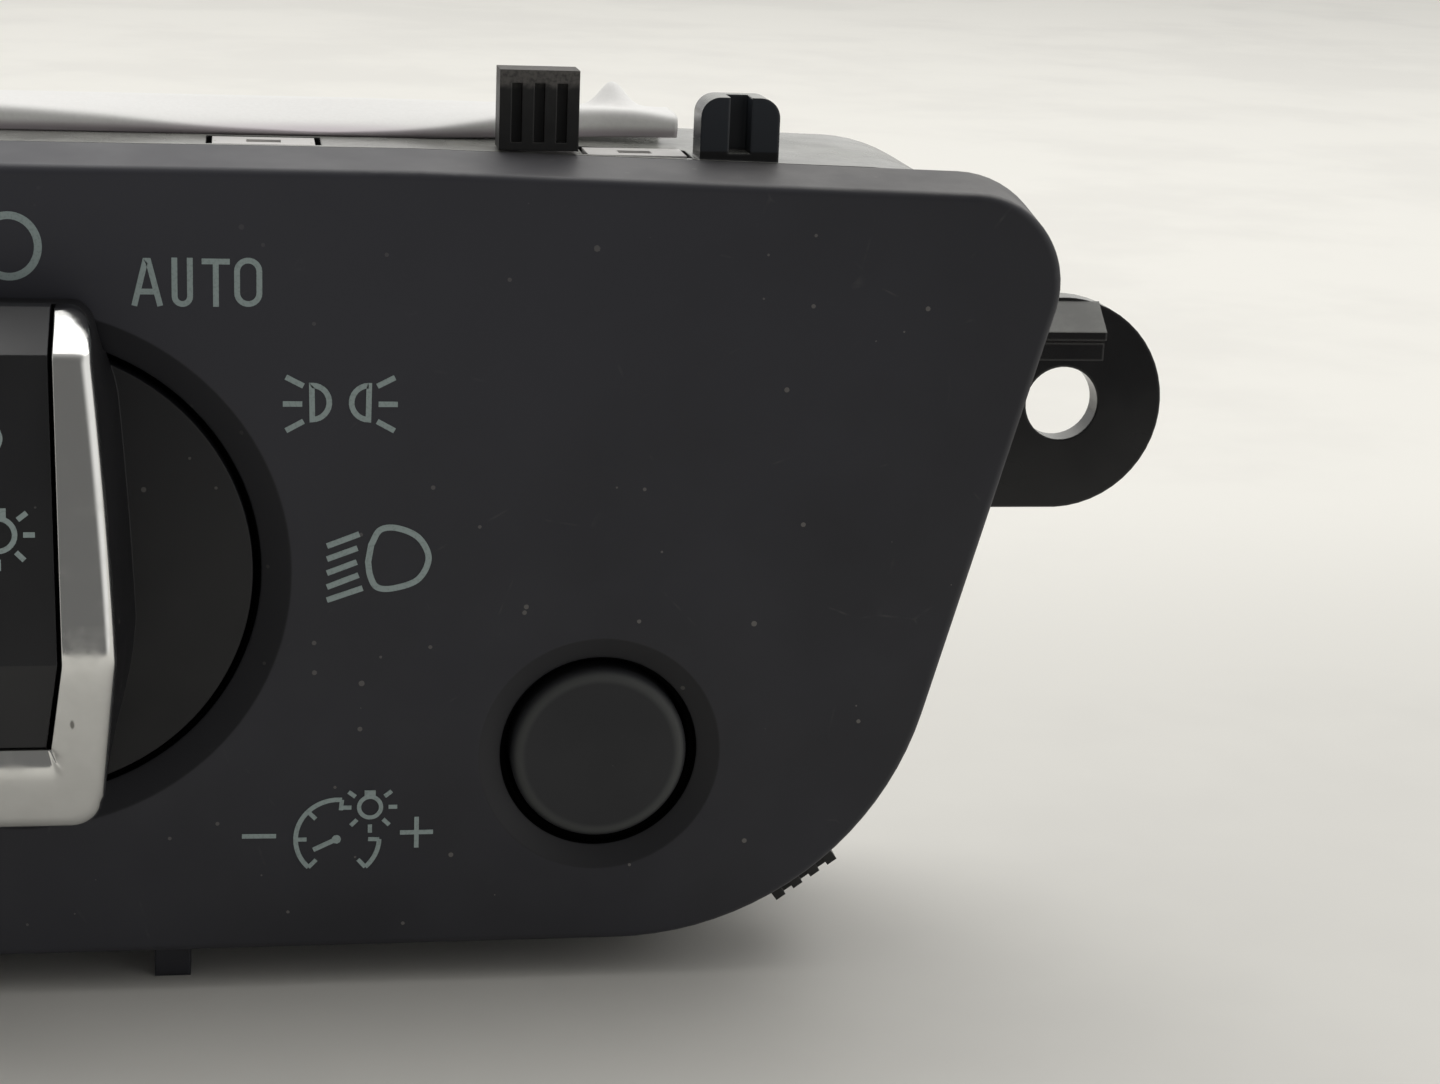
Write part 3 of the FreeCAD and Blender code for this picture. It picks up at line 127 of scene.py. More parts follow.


# Table and light: a pale table top with faint blotches, darkened a little by painted shade close
# to the switch; one broad lamp overhead and behind; and a room that is bright behind the switch
# and on its right, and dim in front of it.
table_mesh = bpy.data.meshes.new("table_top")
table_z = -0.05
reach = 9.0
near_edge = -0.16
table_corners = ((-reach, near_edge), (reach, near_edge), (reach, reach), (-reach, reach))
table_mesh.from_pydata([(x, y, table_z) for x, y in table_corners], [], [(0, 1, 2, 3)])
table_top = bpy.data.objects.new("table_top", table_mesh)
bpy.context.collection.objects.link(table_top)
table_paint, tree, shader, place = new_material("table_paint")
blotch = fade(tree, cloud(tree, place, 9.0, 5.0, 0.6), 0.42, 0.62)
colour = mixed(tree, blotch, (0.93, 0.915, 0.865, 1), (0.88, 0.865, 0.82, 1))
# Painted shade: the table's colour is darkened a little close to the switch.
depth = add(tree, "SeparateXYZ", {0: place}).outputs["Y"]
colour = mixed(tree, fade(tree, depth, 0.05, 0.17, 0.16, 0.0), colour, (0, 0, 0, 1))
tree.links.new(colour, shader.inputs["Base Color"])
shader.inputs["Roughness"].default_value = 0.6
table_mesh.materials.append(table_paint)

lamp = bpy.data.objects.new("overhead_lamp", bpy.data.lights.new("overhead_lamp", "AREA"))
lamp.data.shape = "RECTANGLE"
lamp.data.size = 1.5
lamp.data.size_y = 1.1
lamp.data.energy = 6.0
lamp.data.color = (1.0, 0.99, 0.97)
lamp.location = (0.15, 0.45, 0.95)
lamp.rotation_mode = "QUATERNION"
lamp.rotation_quaternion = (-lamp.location).to_track_quat("-Z", "Y")
bpy.context.collection.objects.link(lamp)

room = bpy.data.worlds.new("room")
bpy.context.scene.world = room
room.use_nodes = True
tree = room.node_tree
sky = tree.nodes["Background"]
direction = add(tree, "TexCoord").outputs["Generated"]
parts = add(tree, "SeparateXYZ", {0: direction})
depth_share = fade(tree, parts.outputs["Y"], -0.75, 0.8)
side_share = fade(tree, parts.outputs["X"], 0.3, 0.8)
bright = calc(tree, "ADD", depth_share, side_share)
room_light = add(tree, "MapRange", {0: bright, 1: 0.0, 2: 1.0, 3: 0.15, 4: 0.9}).outputs[0]
seen = add(tree, "LightPath").outputs["Is Camera Ray"]
strength = calc(tree, "MAXIMUM", room_light, calc(tree, "MULTIPLY", seen, 0.97))
tree.links.new(strength, sky.inputs["Strength"])
sky.inputs["Color"].default_value = (1.0, 0.99, 0.965, 1)

# Front bezel: face plate moulded in soft black plastic with a fine spark-eroded grain. Handling
# left dust specks and short hairline scratches on it, and its edges are a little polished. A
# painted sheen makes it paler towards its top left, painted shade darkens the dishes round both
# knobs, and painted shadow makes their gaps black.


def effect(name, inputs, outputs):
    """An empty node group with named inputs and outputs."""
    tree = bpy.data.node_groups.new(name, "ShaderNodeTree")
    for label, kind, value in inputs:
        socket = tree.interface.new_socket(name=label, in_out="INPUT", socket_type="NodeSocket" + kind)
        if value is not None:
            socket.default_value = value
    for label, kind in outputs:
        tree.interface.new_socket(name=label, in_out="OUTPUT", socket_type="NodeSocket" + kind)
    return tree, tree.nodes.new("NodeGroupInput"), tree.nodes.new("NodeGroupOutput")


# Rounded edges: the moulded radius along every edge, as a bent normal, and a mask of the edges.
round_edges, given, out = effect(
    "rounded_edges", [("Radius", "Float", 0.0003)], [("Normal", "Vector"), ("Edge", "Float")]
)
bent = add(round_edges, "Bevel", {"Radius": given.outputs["Radius"]}, samples=6).outputs["Normal"]
flat = add(round_edges, "NewGeometry").outputs["Normal"]
facing = add(round_edges, "VectorMath", {0: bent, 1: flat}, operation="DOT_PRODUCT").outputs["Value"]
round_edges.links.new(bent, out.inputs["Normal"])
round_edges.links.new(fade(round_edges, facing, 0.99, 0.8), out.inputs["Edge"])

# Moulded grain: fine pits of a given size and depth over broad soft waves of gloss.
moulded_grain, given, out = effect(
    "moulded_grain",
    [("Size", "Float", 0.0002), ("Depth", "Float", 0.000004), ("Normal", "Vector", None)],
    [("Normal", "Vector"), ("Gloss", "Float")],
)
place = add(moulded_grain, "TexCoord").outputs["Object"]
per_metre = calc(moulded_grain, "DIVIDE", 1.0, given.outputs["Size"])
pits = add(moulded_grain, "TexNoise", {"Vector": place, "Scale": per_metre, "Detail": 2.0})
bump = add(moulded_grain, "Bump", {
    "Height": pits.outputs["Fac"], "Distance": given.outputs["Depth"],
    "Normal": given.outputs["Normal"], "Strength": 1.0,
})
moulded_grain.links.new(bump.outputs["Normal"], out.inputs["Normal"])
moulded_grain.links.new(cloud(moulded_grain, place, 90.0), out.inputs["Gloss"])

# Dust: round specks of two sizes. Each cell of a random mesh holds one of its own radius, and
# most cells hold none.
dust, given, out = effect(
    "dust", [("Amount", "Float", 0.3), ("Spacing", "Float", 0.002)], [("Mask", "Float")]
)
place = add(dust, "TexCoord").outputs["Object"]
masks = []
for share, size in ((1.0, 0.1), (0.22, 0.025)):
    scale = calc(dust, "DIVIDE", share, given.outputs["Spacing"])
    cell = add(dust, "TexVoronoi", {"Vector": place, "Scale": scale})
    chance = add(dust, "SeparateColor", {0: cell.outputs["Color"]}).outputs[0]
    rare = calc(dust, "SUBTRACT", chance, calc(dust, "SUBTRACT", 1.0, given.outputs["Amount"]))
    radius = calc(dust, "MULTIPLY", calc(dust, "MAXIMUM", rare, 0.0), size / 0.3)
    ragged = calc(dust, "MULTIPLY", cloud(dust, place, 6000.0), 0.03)
    distance = calc(dust, "ADD", cell.outputs["Distance"], ragged)
    masks.append(calc(dust, "LESS_THAN", distance, calc(dust, "ADD", radius, 0.012)))
dust.links.new(calc(dust, "MAXIMUM", masks[0], masks[1]), out.inputs["Mask"])

# Scratches: thin hairlines, the borders of random cells, kept only in small patches.
scratches, given, out = effect(
    "scratches", [("Amount", "Float", 0.3), ("Spacing", "Float", 0.012)], [("Mask", "Float")]
)
place = add(scratches, "TexCoord").outputs["Object"]
scale = calc(scratches, "DIVIDE", 1.0, given.outputs["Spacing"])
border = add(scratches, "TexVoronoi", {"Vector": place, "Scale": scale}, feature="DISTANCE_TO_EDGE")
thin = fade(scratches, border.outputs["Distance"], 0.004, 0.009, 1.0, 0.0)
patch = fade(
    scratches, cloud(scratches, place, 330.0, 2.0),
    calc(scratches, "SUBTRACT", 0.86, calc(scratches, "MULTIPLY", given.outputs["Amount"], 0.3)), 0.9,
)
scratches.links.new(calc(scratches, "MULTIPLY", thin, patch), out.inputs["Mask"])

# Dust film and reflection: a mask of what faces up, with uneven patches between a least and a most
# share. It lays dust on the face, and dust with a painted reflection on the housing's top.
dust_and_reflection_film, given, out = effect(
    "dust_and_reflection_film", [("Least", "Float", 0.5), ("Most", "Float", 0.9)], [("Mask", "Float")]
)
place = add(dust_and_reflection_film, "TexCoord").outputs["Object"]
normal = add(dust_and_reflection_film, "NewGeometry").outputs["Normal"]
rise = add(dust_and_reflection_film, "SeparateXYZ", {0: normal}).outputs["Z"]
patches = fade(
    dust_and_reflection_film, cloud(dust_and_reflection_film, place, 130.0, 5.0, 0.65), 0.3, 0.7,
    given.outputs["Least"], given.outputs["Most"],
)
upwards = fade(dust_and_reflection_film, rise, 0.55, 0.97)
dust_and_reflection_film.links.new(calc(dust_and_reflection_film, "MULTIPLY", upwards, patches), out.inputs["Mask"])

# Disc: a mask that is one within a radius of a line along Y, and zero from its far edge on.
disc, given, out = effect(
    "disc",
    [("Across", "Float", 0.0), ("Up", "Float", 0.0), ("Near", "Float", 0.01), ("Far", "Float", 0.011)],
    [("Mask", "Float"), ("Distance", "Float")],
)
parts = add(disc, "SeparateXYZ", {0: add(disc, "TexCoord").outputs["Object"]})
side = calc(disc, "SUBTRACT", parts.outputs["X"], given.outputs["Across"])
rise = calc(disc, "SUBTRACT", parts.outputs["Z"], given.outputs["Up"])
squares = calc(disc, "ADD", calc(disc, "MULTIPLY", side, side), calc(disc, "MULTIPLY", rise, rise))
distance = calc(disc, "SQRT", squares)
disc.links.new(fade(disc, distance, given.outputs["Far"], given.outputs["Near"]), out.inputs["Mask"])
disc.links.new(distance, out.inputs["Distance"])


def use(tree, effect_tree, **inputs):
    """An effect placed in a material with its own values."""
    item = tree.nodes.new("ShaderNodeGroup")
    item.node_tree = effect_tree
    for name, value in inputs.items():
        if isinstance(value, bpy.types.NodeSocket):
            tree.links.new(value, item.inputs[name])
        else:
            item.inputs[name].default_value = value
    return item


def plastic(name, colour, gloss, grain=0.2, pit=0.004, edge=0.25, edge_wear_and_highlight=1.6, specks=0.3,
            speck_colour=grey(0.16), hairlines=0.3, shade=0.18):
    """Moulded plastic: grain, soft rounded edges made paler, dust and hairlines over a colour.

    gloss is the roughness; grain, pit and edge are in millimetres; the edge factor multiplies the
    colour along the edges, as wear on most pieces and as a painted highlight on the dimmer cap; and
    shade is how much the colour drifts over the piece.
    """
    paint, tree, shader, place = new_material(name)
    edges = use(tree, round_edges, Radius=edge / 1000)
    skin = use(tree, moulded_grain, Size=grain / 1000, Depth=pit / 1000, Normal=edges.outputs["Normal"])
    light = tuple(value * (1 + shade) for value in colour[:3]) + (1,)
    dark = tuple(value * (1 - shade) for value in colour[:3]) + (1,)
    worn = tuple(min(0.9, value * edge_wear_and_highlight) for value in colour[:3]) + (1,)
    base = mixed(tree, fade(tree, cloud(tree, place, 60.0), 0.3, 0.7), dark, light)
    base = mixed(tree, edges.outputs["Edge"], base, worn)
    lines = use(tree, scratches, Amount=hairlines).outputs["Mask"]
    base = mixed(tree, calc(tree, "MULTIPLY", lines, 0.5), base, speck_colour)
    base = mixed(tree, use(tree, dust, Amount=specks).outputs["Mask"], base, speck_colour)
    rough = fade(tree, skin.outputs["Gloss"], 0.3, 0.7, gloss - 0.05, gloss + 0.06)
    wire(tree, shader, base, rough, skin.outputs["Normal"])
    return paint


def dress(node, paint):
    """Gives a CAD node its finish."""
    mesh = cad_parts[node].data
    mesh.materials.clear()
    mesh.materials.append(paint)


def lay(paint, share, colour):
    """Lays a colour over a finished material where the share is one."""
    tree = paint.node_tree
    shader = tree.nodes["Principled BSDF"]
    below = shader.inputs["Base Color"].links[0].from_socket
    tree.links.new(mixed(tree, share, below, colour), shader.inputs["Base Color"])


def paint_shade(paint, share, colour, gloss=0.9):
    """Lays painted shade, a dark matte colour with next to no reflection, over a finished material."""
    lay(paint, share, colour)
    tree = paint.node_tree
    shader = tree.nodes["Principled BSDF"]
    rough = shader.inputs["Roughness"].links[0].from_socket
    tree.links.new(add(tree, "Mix", {0: share, 2: rough, 3: gloss}).outputs[0], shader.inputs["Roughness"])
    tree.links.new(fade(tree, share, 0.0, 1.0, 0.5, 0.04), shader.inputs["Specular IOR Level"])


knob_at = (0.0, 0.0)
dimmer_at = (49.24, -16.78)


def round_both(tree, knob_near, knob_far, dimmer_near, dimmer_far):
    """A mask round the light knob's axis and the dimmer's: near and far radii in millimetres."""
    masks = []
    for centre, near, far in ((knob_at, knob_near, knob_far), (dimmer_at, dimmer_near, dimmer_far)):
        middle = in_frame((centre[0], 0, centre[1]))
        masks.append(use(
            tree, disc, Across=middle[0], Up=middle[2], Near=near / 1000, Far=far / 1000,
        ).outputs["Mask"])
    return calc(tree, "MAXIMUM", masks[0], masks[1])


face_paint = plastic(
    "black_face_plastic", (0.0187, 0.0191, 0.0262, 1), 0.52, grain=0.16, pit=0.003, edge=0.4,
    edge_wear_and_highlight=1.35, specks=0.4, speck_colour=grey(0.15, 0.05), hairlines=1.0,
)
tree = face_paint.node_tree
lay(face_paint, use(tree, dust_and_reflection_film).outputs["Mask"], grey(0.14, 0.04))
# Painted sheen: the face is paler towards its top left, fading out towards its bottom right.
parts = add(tree, "SeparateXYZ", {0: add(tree, "TexCoord").outputs["Object"]})
sheen_slope = calc(tree, "SUBTRACT", parts.outputs["X"], parts.outputs["Z"])
lay(face_paint, fade(tree, sheen_slope, -0.055, 0.075, 0.95, 0.0), (0.046, 0.047, 0.059, 1))
# Painted shade: the dishes round both knobs are darkened and dulled.
dish_shade = calc(tree, "MULTIPLY", round_both(tree, 22.48, 22.62, 10.58, 10.72), 0.55)
paint_shade(face_paint, dish_shade, (0.003, 0.003, 0.0034, 1), 0.6)
# Painted shadow: the walls of the holes round both knobs are black.
paint_shade(face_paint, round_both(tree, 20.01, 20.06, 8.66, 8.72), grey(0.0012))
dress("front_bezel", face_paint)

# Symbols of the face: the generic signs and the word AUTO, printed on it in pale grey-green ink.
# Each line is a flat stroke of one width that lies on the plastic.
print_paint, tree, shader, place = new_material("symbol_print")
thin_spots = fade(tree, cloud(tree, place, 4000.0, 2.0), 0.35, 0.5)
colour = mixed(tree, thin_spots, (0.31, 0.38, 0.375, 1), (0.37, 0.45, 0.445, 1))
tree.links.new(colour, shader.inputs["Base Color"])
tree.links.new(fade(tree, thin_spots, 0.0, 1.0, 0.55, 0.45), shader.inputs["Roughness"])
print_thick = 0.02
print_step = 0.0015


def new_piece(name, points, faces, paint):
    """A piece of its own, from points in the drawing's millimetres, faces and a material."""
    mesh = bpy.data.meshes.new(name)
    mesh.from_pydata(in_frame(points).tolist(), [], faces)
    mesh.materials.append(paint)
    piece = bpy.data.objects.new(name, mesh)
    bpy.context.collection.objects.link(piece)
    return piece


def stroke(points, width, closed=False):
    """A flat ribbon along a line of the face, with mitred bends.

    Each point moves by half the width along the mean of its two runs' normals, made longer by
    one over the cosine of half the bend. Gives both edges of the ribbon, and whether it's closed.
    """
    points = np.asarray(points, float)
    if closed:
        before = np.roll(points, 1, 0)
        after = np.roll(points, -1, 0)
    else:
        before = np.vstack((points[:1] * 2 - points[1:2], points[:-1]))
        after = np.vstack((points[1:], points[-1:] * 2 - points[-2:-1]))
    first = points - before
    second = after - points
    first /= np.linalg.norm(first, axis=1, keepdims=True)
    second /= np.linalg.norm(second, axis=1, keepdims=True)
    mean = np.stack((-(first + second)[:, 1], (first + second)[:, 0]), 1)
    mean /= np.linalg.norm(mean, axis=1, keepdims=True)
    bend = np.clip((mean * np.stack((-first[:, 1], first[:, 0]), 1)).sum(1, keepdims=True), 0.4, 1)
    offset = mean * width / 2 / bend
    return points + offset, points - offset, closed


def arc(across, up, radius, start, end, count=24, high=None):
    """Points of a circle or ellipse from one angle to another, in degrees."""
    angle = np.radians(np.linspace(start, end, count))
    tall = radius if high is None else high
    return np.stack((across + radius * np.cos(angle), up + tall * np.sin(angle)), 1)


def through(points, steps=10):
    """A smooth line through points, or many such lines at once.

    On each run it's the cubic whose slope at a point is half the way from the point before it to
    the point after it.
    """
    spots = np.asarray(points, float)
    first = spots[..., :1, :] * 2 - spots[..., 1:2, :]
    last = spots[..., -1:, :] * 2 - spots[..., -2:-1, :]
    spots = np.concatenate((first, spots, last), -2)
    runs = spots.shape[-2] - 3
    share = np.linspace(0, 1, steps, endpoint=False)[:, None]
    a, b, c, d = (spots[..., k:runs + k, None, :] for k in range(4))
    curve = 0.5 * (2 * b + (c - a) * share + (2 * a - 5 * b + 4 * c - d) * share ** 2
                   + (3 * b - a - 3 * c + d) * share ** 3)
    curve = curve.reshape(spots.shape[:-2] + (runs * steps, 2))
    return np.concatenate((curve, spots[..., -2:-1, :]), -2)


def print_strokes(name, strokes, depth_at):
    """One mesh of many flat strokes; depth_at gives the printed surface's Y at a height.

    Each stroke is a little thicker than the one before it, so that no two share a surface.
    """
    corners = []
    faces = []
    start = 0
    for order, (left, right_side, closed) in enumerate(strokes):
        count = len(left)
        over = print_thick + print_step * order
        ring = []
        for side, lift in ((left, over), (right_side, over), (right_side, 0), (left, 0)):
            ring.append(np.stack((side[:, 0], depth_at(side[:, 1]) - lift, side[:, 1]), 1))
        corners.append(np.stack(ring, 1).reshape(-1, 3))
        here = np.arange(count if closed else count - 1)
        there = (here + 1) % count
        for side in range(4):
            after = (side + 1) % 4
            quad = (here * 4 + after, there * 4 + after, there * 4 + side, here * 4 + side)
            faces.append(np.stack(quad, 1) + start)
        if not closed:
            ends = np.array(((3, 2, 1, 0), (0, 1, 2, 3))) + np.array(((0,), ((count - 1) * 4,)))
            faces.append(ends + start)
        start += count * 4
    piece = new_piece(name, np.vstack(corners), np.vstack(faces).tolist(), print_paint)
    piece.data.validate()
    return piece


wide = 0.62
letter = 0.47
lamp_line = 0.46
lens_line = 0.52
beam_line = 0.5
dial_line = 0.4
tick_line = 0.36

# Off: a ring over the knob. AUTO: four letters.
face_strokes = [stroke(arc(0, 27.5, 2.32, 0, 360, 48, 2.5)[:-1], wide, True)]
face_strokes += [
    stroke([(9.86, 22.72), (10.78, 26.43), (11.02, 26.43), (11.94, 22.72)], letter),
    stroke([(10.25, 23.9), (11.55, 23.9)], letter),
    stroke(np.vstack(([(13.1, 26.72)], arc(13.72, 23.52, 0.62, 180, 360, 12), [(14.34, 26.72)])), letter),
    stroke([(15.29, 26.44), (17.55, 26.44)], letter),
    stroke([(16.42, 26.3), (16.42, 22.7)], letter),
    stroke(
        np.vstack((arc(19.03, 25.65, 0.9, 0, 180, 14), arc(19.03, 23.85, 0.9, 180, 360, 14))), letter, True
    ),
]

# Side lights: two lamps back to back, each with three rays.
for side in (-1, 1):
    middle = 26.57
    lamp_shape = np.vstack((arc(0, 14.7, 1.4, -90, 90, 16, 1.45), [(-0.05, 16.15)]))
    lamp_shape[:, 0] = middle + side * (2.32 - lamp_shape[:, 0])
    face_strokes.append(stroke(lamp_shape, lamp_line, True))
    for near, near_z, far, far_z in (
        (3.05, 16.1, 4.5, 16.85), (3.15, 14.57, 4.75, 14.57), (3.05, 13.1, 4.5, 12.3)
    ):
        ray = [(middle + side * near, near_z), (middle + side * far, far_z)]
        face_strokes.append(stroke(ray, lamp_line))

# Low beam: the outline of a lamp, and five rays that fall to its left.
beam = through([
    (28.95, 0.9), (29.15, -0.35), (29.75, -1.35), (31.2, -1.42), (33.2, -0.65), (34.06, 1.2),
    (33.2, 3.0), (31.4, 3.85), (29.95, 3.7), (29.2, 2.4),
])
face_strokes.append(stroke(beam, lens_line, True))
for left_z, right_x, right_z in (
    (2.31, 28.2, 3.35), (1.17, 28.05, 2.12), (-0.06, 28.0, 0.9), (-1.29, 28.15, -0.25), (-2.44, 28.5, -1.4)
):
    face_strokes.append(stroke([(25.5, left_z), (right_x, right_z)], beam_line))

# Dimmer: a dial with its pointer and ticks, a small lamp in it, between a minus and a plus.
dial_x, dial_z, dial_r = 26.49, -24.07, 3.6
face_strokes += [
    stroke([(18.31, -23.66), (21.22, -23.7)], dial_line),
    stroke([(31.89, -23.62), (34.76, -23.62)], dial_line),
    stroke([(33.32, -22.2), (33.32, -25.05)], dial_line),
    stroke(arc(dial_x, dial_z, dial_r, 226, 84, 30), dial_line),
    stroke(arc(dial_x, dial_z, dial_r, -2, -48, 12), dial_line),
    stroke([(24.4, -25.05), (26.2, -24.2)], 0.42),
    stroke(arc(dial_x - 0.1, dial_z - 0.05, 0.2, 0, 360, 10)[:-1], 0.38, True),
]
for angle in (226, 180, 135, 84, -2, -48):
    near = arc(dial_x, dial_z, dial_r, angle, angle, 1)
    far = arc(dial_x, dial_z, dial_r - 0.95, angle, angle, 1)
    face_strokes.append(stroke(np.vstack((near, far)), tick_line))


def bulb(across, up_z, radius, width, ray_start, ray_end):
    """Strokes of a small lamp with its base upwards and seven rays round it."""
    base_z = up_z + radius * 1.25
    strokes = [
        stroke(arc(across, up_z, radius, 0, 360, 28)[:-1], width, True),
        stroke([(across - radius * 0.5, base_z), (across + radius * 0.5, base_z)], radius * 0.75),
    ]
    for angle in (142, 180, 225, 270, 315, 0, 38):
        near = arc(across, up_z, ray_start, angle, angle, 1)
        far = arc(across, up_z, ray_end, angle, angle, 1)
        strokes.append(stroke(np.vstack((near, far)), width))
    return strokes


face_strokes += bulb(29.28, -21.21, 0.95, tick_line, 1.6, 2.35)
face_symbols = print_strokes("face_symbols", face_strokes, lambda height: height * 0)
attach(face_symbols, "root")

# Light carrier: white moulding behind the face, with the bearing, the dimmer's well and the two
# snap tongues that show in the windows of the top. Round both knobs its front is painted black
# as shade, so that their gaps are dark.
carrier_paint = plastic(
    "white_carrier_plastic", (0.66, 0.645, 0.63, 1), 0.42, grain=0.3, pit=0.003, edge=0.2, edge_wear_and_highlight=1.1,
    specks=0.3, speck_colour=grey(0.2, 0.1), hairlines=0.2, shade=0.05,
)
tree = carrier_paint.node_tree
# Painted shade: black on the carrier's front round both knobs.
parts = add(tree, "SeparateXYZ", {0: add(tree, "TexCoord").outputs["Object"]})
shallow = fade(tree, parts.outputs["Y"], 0.0005, 0.0)
gap_shade = calc(tree, "MULTIPLY", round_both(tree, 22.1, 22.2, 10.2, 10.3), shallow)
paint_shade(carrier_paint, gap_shade, grey(0.002))
dress("light_carrier", carrier_paint)

# Tips of the snap tongues: white pads moulded on the carrier's tongues. They fill the windows to
# the top's height, and each has its mould slot.
tip_wide = 8.6
tip_high = 0.4
tip_front = 9.3
tip_back = 14.0
slot_side = 2.85
slot_front = 10.7
slot_back = 12.4
corners = []
faces = []
for left, high in ((16.1, 34.86), (47.9, 34.51)):
    start = len(corners)
    rectangles = (
        (left, left + tip_wide, tip_front, tip_back),
        (left + slot_side, left + tip_wide - slot_side, slot_front, slot_back),
    )
    for low_x, high_x, low_y, high_y in rectangles:
        for z in (high - tip_high, high):
            corners += [(low_x, low_y, z), (high_x, low_y, z), (high_x, high_y, z), (low_x, high_y, z)]
    for ring, next_ring in ((0, 4), (4, 12), (12, 8), (8, 0)):
        for spot in range(4):
            after = (spot + 1) % 4
            quad = (ring + spot, ring + after, next_ring + after, next_ring + spot)
            faces.append([start + corner for corner in quad])
tongue_tips = new_piece("tongue_tips", corners, faces, carrier_paint)
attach(tongue_tips, "root")

# Light guides: clear acrylic rods from the diodes to the symbols, and one down the knob's shaft to
# the key. They're injection moulded, and polished at both ends.


def clear_plastic(name, tint, rough):
    """Clear plastic with faint flow lines and soft rounded ends."""
    paint, tree, shader, place = new_material(name)
    edges = use(tree, round_edges, Radius=0.0002)
    skin = use(tree, moulded_grain, Size=0.0012, Depth=0.000004, Normal=edges.outputs["Normal"])
    base = mixed(tree, fade(tree, cloud(tree, place, 300.0), 0.35, 0.65), tint, (0.93, 0.95, 0.96, 1))
    uneven = fade(tree, skin.outputs["Gloss"], 0.3, 0.7, rough, rough + 0.08)
    wire(tree, shader, base, uneven, skin.outputs["Normal"])
    shader.inputs["Transmission Weight"].default_value = 1.0
    shader.inputs["IOR"].default_value = 1.49
    return paint


dress("symbol_light_guides", clear_plastic("clear_guide_plastic", (0.85, 0.9, 0.9, 1), 0.05))
dress("key_light_guide", clear_plastic("clear_key_guide_plastic", (0.88, 0.9, 0.85, 1), 0.08))

# Circuit board and diodes: glass-fibre board with a green solder mask over copper tracks. The
# diodes soldered on it are white ceramic cases with a yellow lens.
board_paint, tree, shader, place = new_material("green_board")
tracks = add(tree, "TexBrick", {
    "Vector": add(tree, "Mapping", {"Vector": place, "Rotation": (math.pi / 2, 0, 0)}).outputs[0],
    "Scale": 140.0, "Mortar Size": 0.06, "Mortar Smooth": 0.1, "Brick Width": 1.1, "Row Height": 0.32,
})
weave = cloud(tree, place, 1800.0, 1.0)
mask_colour = mixed(tree, fade(tree, weave, 0.35, 0.65), (0.008, 0.09, 0.032, 1), (0.012, 0.12, 0.045, 1))
colour = mixed(tree, tracks.outputs["Fac"], mask_colour, (0.03, 0.2, 0.07, 1))
raised = add(tree, "Bump", {"Height": tracks.outputs["Fac"], "Distance": 0.00004, "Strength": 1.0})
wire(tree, shader, colour, fade(tree, weave, 0.3, 0.7, 0.25, 0.38), raised.outputs["Normal"])
dress("circuit_board", board_paint)

diode_paint, tree, shader, place = new_material("diode_case")
edges = use(tree, round_edges, Radius=0.0002)
lens = fade(tree, cloud(tree, place, 420.0, 1.0), 0.45, 0.6)
colour = mixed(tree, lens, (0.75, 0.73, 0.68, 1), (0.8, 0.62, 0.12, 1))
colour = mixed(tree, edges.outputs["Edge"], colour, grey(0.85))
wire(tree, shader, colour, fade(tree, lens, 0.0, 1.0, 0.45, 0.25), edges.outputs["Normal"])
dress("backlight_diodes", diode_paint)

# Rear housing: black box with the lugs and the fork guide, moulded in one in a glossier plastic
# than the face. Its top is scuffed, and pale on its upward faces with dust and a painted
# reflection; the fronts of the fork's posts are paler bluish grey.
housing_paint = plastic(
    "black_housing_plastic", (0.0062, 0.0062, 0.0072, 1), 0.22, grain=0.9, pit=0.002, edge=0.3, edge_wear_and_highlight=2.6,
    specks=0.3, speck_colour=grey(0.1, 0.06), hairlines=0.7, shade=0.25,
)
tree = housing_paint.node_tree
parts = add(tree, "SeparateXYZ", {0: add(tree, "TexCoord").outputs["Object"]})
# The fronts of the fork's posts are paler bluish grey.
raised = fade(tree, parts.outputs["Z"], 0.02275, 0.0230)
posts = calc(tree, "MULTIPLY", raised, fade(tree, parts.outputs["Y"], 0.0003, 0.0))
lay(housing_paint, posts, (0.03, 0.035, 0.043, 1))
# Dust and painted reflection: a pale film on the housing's upward faces.
lay(housing_paint, use(tree, dust_and_reflection_film).outputs["Mask"], (0.33, 0.335, 0.31, 1))
dress("rear_housing", housing_paint)

# Housing screws: four of zinc-plated steel, driven from the back into the carrier's posts. The
# same metal effect, in other colours, serves the clip, the springs, the pins and the encoder.


def metal(name, colour, rough, lines=0.15, line_scale=1500.0, edge=0.08):
    """Bright metal: fine drawn lines, blotches of tarnish and lighter rounded edges."""
    paint, tree, shader, place = new_material(name)
    edges = use(tree, round_edges, Radius=edge / 1000)
    drawn = add(tree, "Mapping", {"Vector": place, "Scale": (1.0, 0.06, 1.0)}).outputs[0]
    streak = cloud(tree, drawn, line_scale, 3.0)
    tarnish = fade(tree, cloud(tree, place, 240.0), 0.42, 0.68)
    dull = tuple(value * 0.62 for value in colour[:3]) + (1,)
    base = mixed(tree, calc(tree, "MULTIPLY", tarnish, 0.6), colour, dull)
    base = mixed(tree, calc(tree, "MULTIPLY", edges.outputs["Edge"], 0.4), base, grey(0.9))
    bump = add(tree, "Bump", {
        "Height": streak, "Distance": lines / 100000, "Normal": edges.outputs["Normal"], "Strength": 1.0,
    })
    uneven = fade(tree, streak, 0.3, 0.7, rough - 0.06, rough + 0.1)
    wire(tree, shader, base, uneven, bump.outputs["Normal"])
    shader.inputs["Metallic"].default_value = 1.0
    return paint


dress("housing_screws", metal("zinc_steel", (0.62, 0.63, 0.64, 1), 0.28))

